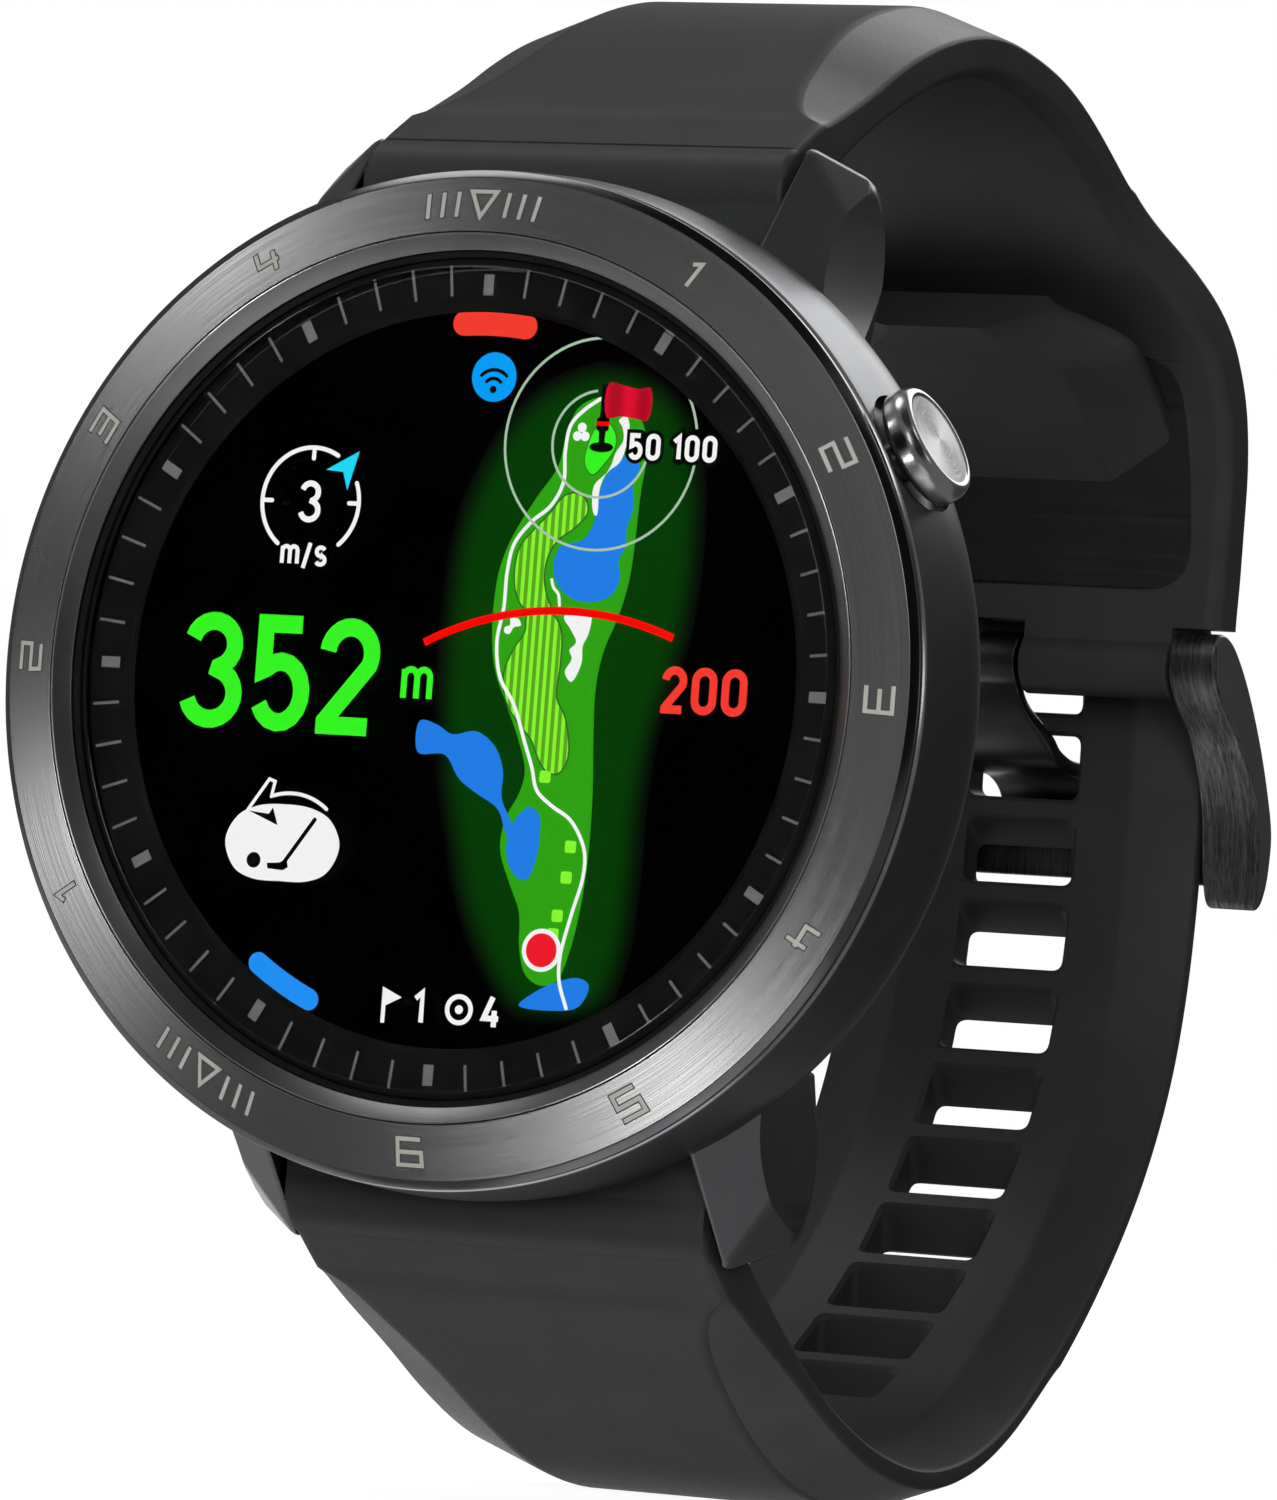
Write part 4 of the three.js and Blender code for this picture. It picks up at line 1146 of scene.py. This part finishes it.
# Half lengths of the bores, which run out past both sides of the strap.
LUG_BORE_HALF = 12
BUCKLE_BORE_HALF = 14
WINDOW_HALF = 10.1
WINDOW_LOW_Z = 10.2
WINDOW_HIGH_Z = 21.2
WINDOW_CORNER = 2.6
WINDOW_DEPTH = 2.65
BUCKLE_BAR = (60.7, 6.0)
BUCKLE_BORE_R = 1.05
BUCKLE_TUBE_R = 1.62
BUCKLE_TUBE_HALF = 9.6
WEB_Y = (59.62, 62.1)
WEB_Z = (6.0, 8.6)
NOTCH_HALF = 1.45
NOTCH_Y = (55, 66)
NOTCH_Z = (3.0, 8.1)


class Path:
    """A strap's centre line in the y-z plane by arc length, with the outward side known."""

    def __init__(self, points, side):
        self.side = side
        self.points = catmull(points, 24)
        self.run = [0.0]
        for a, b in zip(self.points, self.points[1:]):
            self.run.append(self.run[-1] + (b - a).length)
        self.length = self.run[-1]

    def frame(self, s):
        """Point and tangent at arc length s, carried on straight past the ends."""
        if s <= 0:
            t = (self.points[1] - self.points[0]).normalized()
            return self.points[0] + t * s, t
        if s >= self.length:
            t = (self.points[-1] - self.points[-2]).normalized()
            return self.points[-1] + t * (s - self.length), t
        low, high = 0, len(self.run) - 1
        while high - low > 1:
            mid = (low + high) // 2
            if self.run[mid] <= s:
                low = mid
            else:
                high = mid
        k = (s - self.run[low]) / (self.run[high] - self.run[low])
        p = self.points[low].lerp(self.points[high], k)
        before = self.points[max(low - 1, 0)]
        after = self.points[min(high + 1, len(self.points) - 1)]
        return p, (after - before).normalized()

    def place(self, x, s, h):
        p, t = self.frame(s)
        return (x, p.x - self.side * t.y * h, p.y + self.side * t.x * h)

    def s_at_z(self, z, start=0.0):
        s = start
        step = 0.05
        sign = self.frame(s)[0].y < z
        while (self.frame(s)[0].y < z) == sign and s < self.length:
            s += step
        return s


def lens(u, first, last, blunt=0.5):
    v = min(1.0, max(0.0, (u - first) / (last - first)))
    return math.sin(math.pi * v ** 0.8) ** blunt if 0 < v < 1 else 0.0


def swell_rise(u, first, last):
    """How far the broad face has risen: gently, where the side facets start at once."""
    return smooth(u, first - 0.03, first + 0.17) * (1 - smooth(u, last - 0.17, last + 0.03))


def strap_section(u, half, edge, ends, bevel=PLAIN_BEVEL):
    """The outline at u: half its width, its edge's height, where the swell ends and the inner bevel."""
    swell = lens(u, *ends)
    edge += RIM_DIP * (swell_rise(u, *ends) - swell)
    crown = 0.15 + CROWN * swell
    facet = 0.35 + FACET_WIDTH * swell
    right = [(half - bevel[0], 0), (half, bevel[1]), (half, edge), (half - facet, edge + crown)]
    left = [(-x, h) for x, h in reversed(right)]
    return fillet([*right, *left], [*SECTION_ROUNDS, *reversed(SECTION_ROUNDS)], 3)


def upper_section(u):
    half = STRAP_LUG_HALF + (UPPER_WIDE_HALF - STRAP_LUG_HALF) * smooth(u, 0.6, 0.8)
    half -= (UPPER_WIDE_HALF - UPPER_END_HALF) * smooth(u, 0.82, 1.0)
    edge = EDGE_HEIGHT - EDGE_THINNING * smooth(u, 0.0, 0.15) + 0.5 * smooth(u, 0.6, 0.85)
    return strap_section(u, half, edge, UPPER_SWELL)


def lower_section(u):
    tip = smooth(u, 0.955, 1.0)
    half = STRAP_LUG_HALF - (STRAP_LUG_HALF - LOWER_TAIL_HALF) * smooth(u, 0.2, 0.5) - 3.4 * tip ** 1.5
    edge = EDGE_HEIGHT - EDGE_THINNING * smooth(u, 0.0, 0.12) - 0.1 * smooth(u, 0.4, 0.6)
    broad = smooth(u, 0.04, 0.16)
    bevel = [plain + (inner - plain) * broad for plain, inner in zip(PLAIN_BEVEL, INNER_BEVEL)]
    return strap_section(u, half, edge, LOWER_SWELL, bevel)


def sweep(path, steps, section_at, facet_kind=0):
    """A section carried along a path. The side facets of a strap get a material of their own: lighter rubber
    whose colour paints the sheen they catch.
    """
    build = Build()
    for i in range(steps + 1):
        section = section_at(i / steps)
        build.add([path.place(x, i / steps * path.length, h) for x, h in section], [])
    n = len(section)
    # The faces between the rim's rounding and the crown line's rounding are the side facets.
    facets = (3 * (n // 8) - 1, 5 * (n // 8) - 1)
    for i in range(steps):
        for k in range(n):
            a = i * n + k
            b = i * n + (k + 1) % n
            build.faces.append([a, b, b + n, a + n])
            build.kinds.append(facet_kind if k in facets else 0)
    build.faces += [list(range(n)), list(range(steps * n, steps * n + n))]
    build.kinds += [0, 0]
    return build


def slot_cutter(path, outline_at, thickness, flare):
    """A plug through the strap with flared mouths. outline_at(grow, depth) gives (x, s) points."""
    levels = [(-1.5, flare), (0.0, flare), (flare, 0.0), (thickness - flare, 0.0), (thickness, flare),
              (thickness + 1.8, flare)]
    build = Build()
    for h, grow in levels:
        outline = outline_at(grow, min(1.0, max(0.0, h / thickness)))
        build.add([path.place(x, s, h) for x, s in outline], [])
    n = len(outline)
    faces = [list(range(n)), list(range((len(levels) - 1) * n, len(levels) * n))]
    for i in range(len(levels) - 1):
        for k in range(n):
            faces.append([i * n + k, i * n + (k + 1) % n, (i + 1) * n + (k + 1) % n, (i + 1) * n + k])
    build.faces = faces
    build.kinds = [0] * len(faces)
    return build


def box_outline(x0, x1, s0, s1, corner, cuts):
    """A rounded rectangle whose sides along s are cut into short steps, to follow a curved strap."""
    steps = 5
    base = fillet([(x0, s0), (x1, s0), (x1, s1), (x0, s1)], corner, steps)
    out = []
    for i, p in enumerate(base):
        q = base[(i + 1) % len(base)]
        along = i in (2 * steps + 1, 4 * steps + 3)
        parts = cuts if along else 1
        out += [p.lerp(q, k / parts) for k in range(parts)]
    return out


def shoulder(sign):
    """Fills the corners between the case's round side and the roll."""
    y_low, clear = SHOULDER
    high = LUG_BAR[1] + 0.6
    turn = math.degrees(math.asin(STRAP_LUG_HALF / clear))
    edge = arc(0, 0, clear, 90 - turn, 90 + turn, 40)
    outline = [*edge, Vector((-STRAP_LUG_HALF, high)), Vector((STRAP_LUG_HALF, high))]
    build = Build()
    build.add(*prism(outline, y_low, LUG_BAR[0], lambda x, z, y: (x, y, sign * z)))
    return build


def strap_half(path, steps, section_at, sign):
    """A swept strap, its shoulder and its roll. sign is 1 at 12 o'clock and -1 at 6 o'clock."""
    mesh = to_mesh("strap", sweep(path, steps, section_at, 1))
    mesh = join(mesh, shoulder(sign))
    roll = rod_x(ROLL_R, -STRAP_LUG_HALF, STRAP_LUG_HALF, LUG_BAR[0], sign * LUG_BAR[1], 64, 0.3)
    return join(mesh, roll)


def bore_at_lug(mesh, sign):
    return cut(mesh, rod_x(LUG_BORE_R, -LUG_BORE_HALF, LUG_BORE_HALF, LUG_BAR[0], sign * LUG_BAR[1], 32))


def finish_strap(name, mesh, node):
    finish_piece(name, mesh, [RUBBER, RUBBER_FACET_SHEEN], node, "strap_rubber", [node], 24)


def make_upper_strap():
    path = Path(UPPER_PATH, 1)
    mesh = strap_half(path, 150, upper_section, 1)
    mesh = join(mesh, rod_x(BUCKLE_TUBE_R, -BUCKLE_TUBE_HALF, BUCKLE_TUBE_HALF, *BUCKLE_BAR, 48, 0.25))
    mesh = join(mesh, block((-BUCKLE_TUBE_HALF, BUCKLE_TUBE_HALF), WEB_Y, WEB_Z))
    s_high, s_low = [path.s_at_z(z, 0.5 * path.length) for z in (WINDOW_HIGH_Z, WINDOW_LOW_Z)]

    def window(grow, _depth):
        half = WINDOW_HALF + grow
        return box_outline(-half, half, s_high - grow, s_low + grow, WINDOW_CORNER, 24)
    mesh = cut(mesh, slot_cutter(path, window, WINDOW_DEPTH, 0.35))
    mesh = bore_at_lug(mesh, 1)
    mesh = cut(mesh, rod_x(BUCKLE_BORE_R, -BUCKLE_BORE_HALF, BUCKLE_BORE_HALF, *BUCKLE_BAR, 32))
    mesh = cut(mesh, block((-NOTCH_HALF, NOTCH_HALF), NOTCH_Y, NOTCH_Z))
    finish_strap("strap_top_half", mesh, "strap_upper")


def make_lower_strap():
    path = Path(LOWER_PATH, -1)
    mesh = strap_half(path, 220, lower_section, -1)
    first = path.s_at_z(HOLE_FIRST_Z, 0.5 * path.length)
    for k in range(HOLE_COUNT):
        middle = first - k * HOLE_PITCH
        drop = 0 if k == HOLE_IN_USE else HOLE_CEILING_DROP

        def hole(grow, depth, middle=middle, drop=drop):
            h = HOLE_HEIGHT / 2 + grow
            top = middle + h - drop * depth
            return box_outline(-HOLE_HALF - grow, HOLE_HALF + grow, middle - h, top, HOLE_CORNER, 4)
        mesh = cut(mesh, slot_cutter(path, hole, HOLE_DEPTH, 0.2))
    finish_strap("strap_hole_half", bore_at_lug(mesh, -1), "strap_lower")


# ---- buckle ----

ARM_INNER_X = 9.95
ARM_OUTER_X = 12.4
# (y, z, how far the point's outer end lies behind its inner end)
ARM_OUTLINE = [
    (59.2, 7.7, 0.2), (60.8, 7.6, 0), (62.8, 6.2, 0), (65.2, 3.5, 0), (67.1, 0.6, 0), (68.2, -1.8, 0),
    (68.2, -3.4, 0), (67.8, -4.7, 0.1), (67.0, -5.6, 0.3), (65.9, -5.8, 0.9), (65.1, -4.6, 1.7),
    (64.2, -0.9, 1.9), (62.2, 2.1, 1.4), (59.5, 4.3, 0.9), (58.7, 5.4, 0.6), (58.6, 7.0, 0.4),
]
CROSSBAR_OUTLINE = [
    (66.45, -2.2), (67.4, -1.5), (68.1, -1.9), (68.0, -3.4), (67.2, -4.5), (66.45, -4.8),
]
CROSSBAR_INTO_ARM = 0.4
PRONG_PATH = [
    (60.3, 4.9), (60.6, 3.2), (61.9, 1.6), (63.8, 0.9), (65.9, 0.7), (67.6, -0.1), (68.6, -1.6),
    (69.0, -3.3),
]


def plate_x(inner, outer, x0, x1, edge):
    """A plate across x between two (y, z) outlines, with rounded rims."""
    verts = [at(x0, y, z) for y, z in inner] + [at(x1, y, z) for y, z in outer]
    faces = prism(inner, x0, x1, at)[1]
    bm = bmesh.new()
    made = [bm.verts.new(v) for v in verts]
    for f in faces:
        bm.faces.new([made[i] for i in f])
    bmesh.ops.recalc_face_normals(bm, faces=bm.faces)
    rims = [e for e in bm.edges if len(e.link_faces) == 2 and e.calc_face_angle() > math.radians(60)]
    bmesh.ops.bevel(bm, geom=rims, offset=edge * MM, segments=3, profile=0.5, affect="EDGES")
    return from_bmesh("plate", bm)


def make_buckle():
    inner = catmull([(y, z) for y, z, back in ARM_OUTLINE], 5, closed=True)
    outer = catmull([(y + back, z) for y, z, back in ARM_OUTLINE], 5, closed=True)
    bar = fillet(CROSSBAR_OUTLINE, 0.5, 4)
    end = ARM_INNER_X + CROSSBAR_INTO_ARM
    mesh = plate_x(bar, bar, -end, end, 0.15)
    for side in (-1, 1):
        arm = plate_x(inner, outer, side * ARM_INNER_X, side * ARM_OUTER_X, 0.22)
        mesh = boolean(mesh, arm, "UNION")
    mesh = cut(mesh, rod_x(BUCKLE_BORE_R, -11.8, 11.8, *BUCKLE_BAR, 32))
    for polygon in mesh.polygons:
        polygon.material_index = 1 if abs(polygon.normal.x) > 0.9 else 0
    finish_piece("buckle_loop", mesh, [BUCKLE_METAL, BUCKLE_SIDE], "buckle", "buckle_metal",
                 ["buckle_frame"], 30)


PRONG_EYE_R = 1.5
PRONG_EYE_HALF = 1.15
PRONG_WIDE_HALF = 2.7
PRONG_HALF_THICKNESS = 0.45


def prong_section(u):
    half = PRONG_EYE_HALF + (PRONG_WIDE_HALF - PRONG_EYE_HALF) * smooth(u, 0.0, 0.27)
    half -= 0.6 * smooth(u, 0.75, 1.0)
    h = PRONG_HALF_THICKNESS
    return fillet([(half, -h), (half, h), (-half, h), (-half, -h)], 0.25, 3)


def make_prong():
    mesh = to_mesh("strap", sweep(Path(PRONG_PATH, -1), 50, prong_section))
    mesh = join(mesh, rod_x(PRONG_EYE_R, -PRONG_EYE_HALF, PRONG_EYE_HALF, *BUCKLE_BAR, 40, 0.15))
    mesh = cut(mesh, rod_x(BUCKLE_BORE_R, -4, 4, *BUCKLE_BAR, 32))
    finish_piece("prong_tongue", mesh, [PRONG_METAL], "prong", "prong_metal", ["buckle_prong"], 30)


# ---- back ----

BACK_PROFILE = [
    (0, 10.6), (14.5, 10.6), (15.3, 10.2), (20.3, 10.2), (20.9, 9.6), (19.0, 9.6), (19.0, 8.7), (18.9, 8.7),
    (18.9, 9.3), (0, 9.3),
]
BACK_ROUNDS = [0, 0.25, 0.25, 0.2, 0.1, 0.02, 0.02, 0.02, 0.02, 0]
SCREW_CIRCLE_R = 17.3
SCREW_HEAD = (1.2, 9.75, 10.15)
SCREW_SHANK = (0.65, 6.6, 9.9)
SLOT_HALF = 1.4
SLOT_HALF_WIDTH = 0.16
SLOT_Y = (9.95, 10.4)
CHARGE_PADS = [(x, -8.0) for x in (-4.5, -1.5, 1.5, 4.5)]
CHARGE_PAD = (0.95, 8.6, 10.5)
# Radius and depths of the holes in the back: round each screw's head, its shank and each pad.
HEAD_HOLE = (1.5, 9.75, 11.5)
SHANK_HOLE = (1.0, 8.5, 9.9)
PAD_HOLE = (1.2, 8.8, 11.5)


def disc(radius, low, high, x, z, edge=0.0, segments=48):
    profile = fillet([(0, low), (radius, low), (radius, high), (0, high)], edge, 4, closed=False)
    turned = lathe(profile, segments)
    turned.verts = [(vx + x, h, vz + z) for vx, h, vz in turned.verts]
    return turned


def make_back():
    profile = fillet(BACK_PROFILE, BACK_ROUNDS, 4, closed=False)
    kinds = [0 if 15.25 < (a[0] + b[0]) / 2 < 20.9 and a[1] > 10 else 1 for a, b in pairs(profile)]
    mesh = to_mesh("back", lathe(profile, kinds=kinds))
    turns = [math.pi / 4 + k * math.pi / 2 for k in range(4)]
    screws = [(SCREW_CIRCLE_R * math.cos(a), SCREW_CIRCLE_R * math.sin(a)) for a in turns]
    for hole, places in ((HEAD_HOLE, screws), (SHANK_HOLE, screws), (PAD_HOLE, CHARGE_PADS)):
        for x, z in places:
            mesh = cut(mesh, disc(*hole, x, z))
    finish_piece("back_plate", mesh, [BACK_METAL, BACK_SATIN], "case", "back_metal", ["back_cover"], 30)
    for k, (x, z) in enumerate(screws):
        screw = to_mesh("screw", disc(*SCREW_HEAD, x, z, 0.12))
        screw = join(screw, disc(*SCREW_SHANK, x, z, 0.05, 24))
        screw = cut(screw, block((x - SLOT_HALF, x + SLOT_HALF), SLOT_Y,
                                 (z - SLOT_HALF_WIDTH, z + SLOT_HALF_WIDTH)))
        finish_piece(f"case_screw_{k + 1}", screw, [POLISHED], "case", "button_steel",
                     [f"back_screw_{k + 1}"], 30)
    for k, (x, z) in enumerate(CHARGE_PADS):
        piece(f"contact_pad_{k + 1}", disc(*CHARGE_PAD, x, z, 0.18, 40), [GOLD], "case", "contact_gold",
              [f"charge_pad_{k + 1}"], 30)


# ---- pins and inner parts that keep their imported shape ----

KEPT = {
    "spring_bar_upper": POLISHED, "spring_bar_lower": POLISHED, "buckle_bar": POLISHED, "chassis": PLASTIC,
    "tact_switch": GOLD, "main_board": BOARD, "battery": FOIL, "gps_antenna": CERAMIC,
    "vibration_motor": BUCKLE_METAL, "back_seal": SEAL, "button_seal": SEAL,
}


def dress_kept_nodes():
    for name, material in KEPT.items():
        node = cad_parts[name]
        node.data.materials.clear()
        node.data.materials.append(material)


# ---- studio ----

FLOOR_GLOW = 0.93


def make_floor():
    low = cad_box[0][2]
    turns = [TURN * k / 96 for k in range(96)]
    ring = [(FLOOR_RADIUS * math.cos(a), FLOOR_RADIUS * math.sin(a), low) for a in turns]
    mesh = bpy.data.meshes.new("floor")
    mesh.from_pydata(ring, [], [list(range(len(ring)))])
    floor = bpy.data.objects.new("floor", mesh)
    bpy.context.scene.collection.objects.link(floor)
    paper = glowing("pale_floor", (0.02, 2.0), 0.97, (0, 0, 0, 1), (0.3, 0.3, 0.3, 1), (1, 1, 1, 1), {
        "Emission Strength": FLOOR_GLOW, "Roughness": 0.9, "Specular IOR Level": 0.1})
    mesh.materials.append(paper)
    floor.visible_diffuse = False
    floor.visible_glossy = False


# Soft boxes painted on the sky: direction towards the light, half angle, edge softness, strength.
SOFT_BOXES = [
    ((-0.72, -0.50, 0.46), 2, 3, 7.0),
    ((-0.10, -0.89, -0.44), 2, 3, 8.5),
    ((-0.82, -0.56, -0.10), 2, 3, 5.0),
    ((-0.80, -0.56, -0.20), 2, 4, 1.2),
    ((0.05, -0.20, -0.98), 12, 12, 0.45),
    ((0.30, -0.88, 0.36), 5, 9, 2.2),
    ((0.00, 0.79, 0.61), 14, 9, 2.2),
    ((-0.43, 0.05, 0.90), 8, 9, 2.0),
    ((-0.78, 0.20, -0.58), 18, 14, 0.25),
    ((-0.43, 0.22, -0.87), 12, 14, 0.5),
    ((-0.60, 0.78, -0.12), 12, 10, 0.9),
    ((0.36, -0.55, -0.75), 8, 12, 0.35),
    ((0.90, -0.38, 0.12), 4, 6, 2.2),
    ((0.66, -0.30, 0.66), 4, 6, 2.2),
]
AMBIENT = 0.14
# Directions kept dark: towards, half angle, edge softness, what is left of the light. The display
# mirrors the first, the bezel's chamfer the next two and the case's right side the last.
FLAGS = [
    ((-0.435, -0.90, 0.03), 13, 13, 0.0),
    ((0.68, -0.65, 0.30), 20, 12, 0.1),
    ((0.12, -0.42, 0.90), 14, 10, 0.15),
    ((0.35, 0.93, -0.12), 18, 14, 0.35),
]
# Soft suns that light matt surfaces and show in no reflection: from where, strength, angle.
FILLS = [
    ((0.34, -0.94, 0.06), 3.2, 40),
    ((-0.93, 0.10, -0.35), 2.4, 20),
]


def make_fills():
    for k, (way, strength, angle) in enumerate(FILLS):
        data = bpy.data.lights.new(f"fill_{k + 1}", "SUN")
        data.energy = strength
        data.angle = math.radians(angle)
        fill = bpy.data.objects.new(data.name, data)
        fill.rotation_euler = Vector(way).to_track_quat("Z", "Y").to_euler()
        fill.visible_glossy = False
        bpy.context.scene.collection.objects.link(fill)


def make_world():
    world = bpy.data.worlds.new("studio")
    bpy.context.scene.world = world
    g = Graph(world)
    coord = g.add("ShaderNodeTexCoord").outputs["Generated"]

    def cone(way, half, soft, inside, outside=0.0):
        inputs = {0: coord, 1: Vector(way).normalized()}
        dot = g.add("ShaderNodeVectorMath", inputs, operation="DOT_PRODUCT").outputs["Value"]
        outer = math.cos(math.radians(half + soft))
        inner = math.cos(math.radians(half))
        return g.remap(dot, outer, inner, outside, inside, smooth=True)
    total = AMBIENT
    for way, half, soft, strength in SOFT_BOXES:
        total = g.math("ADD", cone(way, half, soft, strength), total)
    for way, half, soft, left in FLAGS:
        total = g.math("MULTIPLY", total, cone(way, half, soft, left, 1.0))
    # The camera itself sees plain white.
    seen = g.add("ShaderNodeLightPath").outputs["Is Camera Ray"]
    background = g.nodes["Background"]
    unseen = g.math("MULTIPLY", total, g.math("SUBTRACT", 1.0, seen))
    g.put(background.inputs["Strength"], g.math("ADD", unseen, seen))
    background.inputs["Color"].default_value = (1, 1, 1, 1)


for make in (
    make_camera, make_floor, make_world, make_fills, make_case, make_bezel, make_numbers, make_glass,
    make_minute_ring, make_panel, draw_hole_map, draw_flag, draw_readings, draw_wind, draw_icons,
    draw_hole_info, make_button, make_upper_strap, make_lower_strap, make_buckle, make_prong, make_back,
    dress_kept_nodes,
):
    make()
bpy.context.scene.view_settings.view_transform = "Standard"
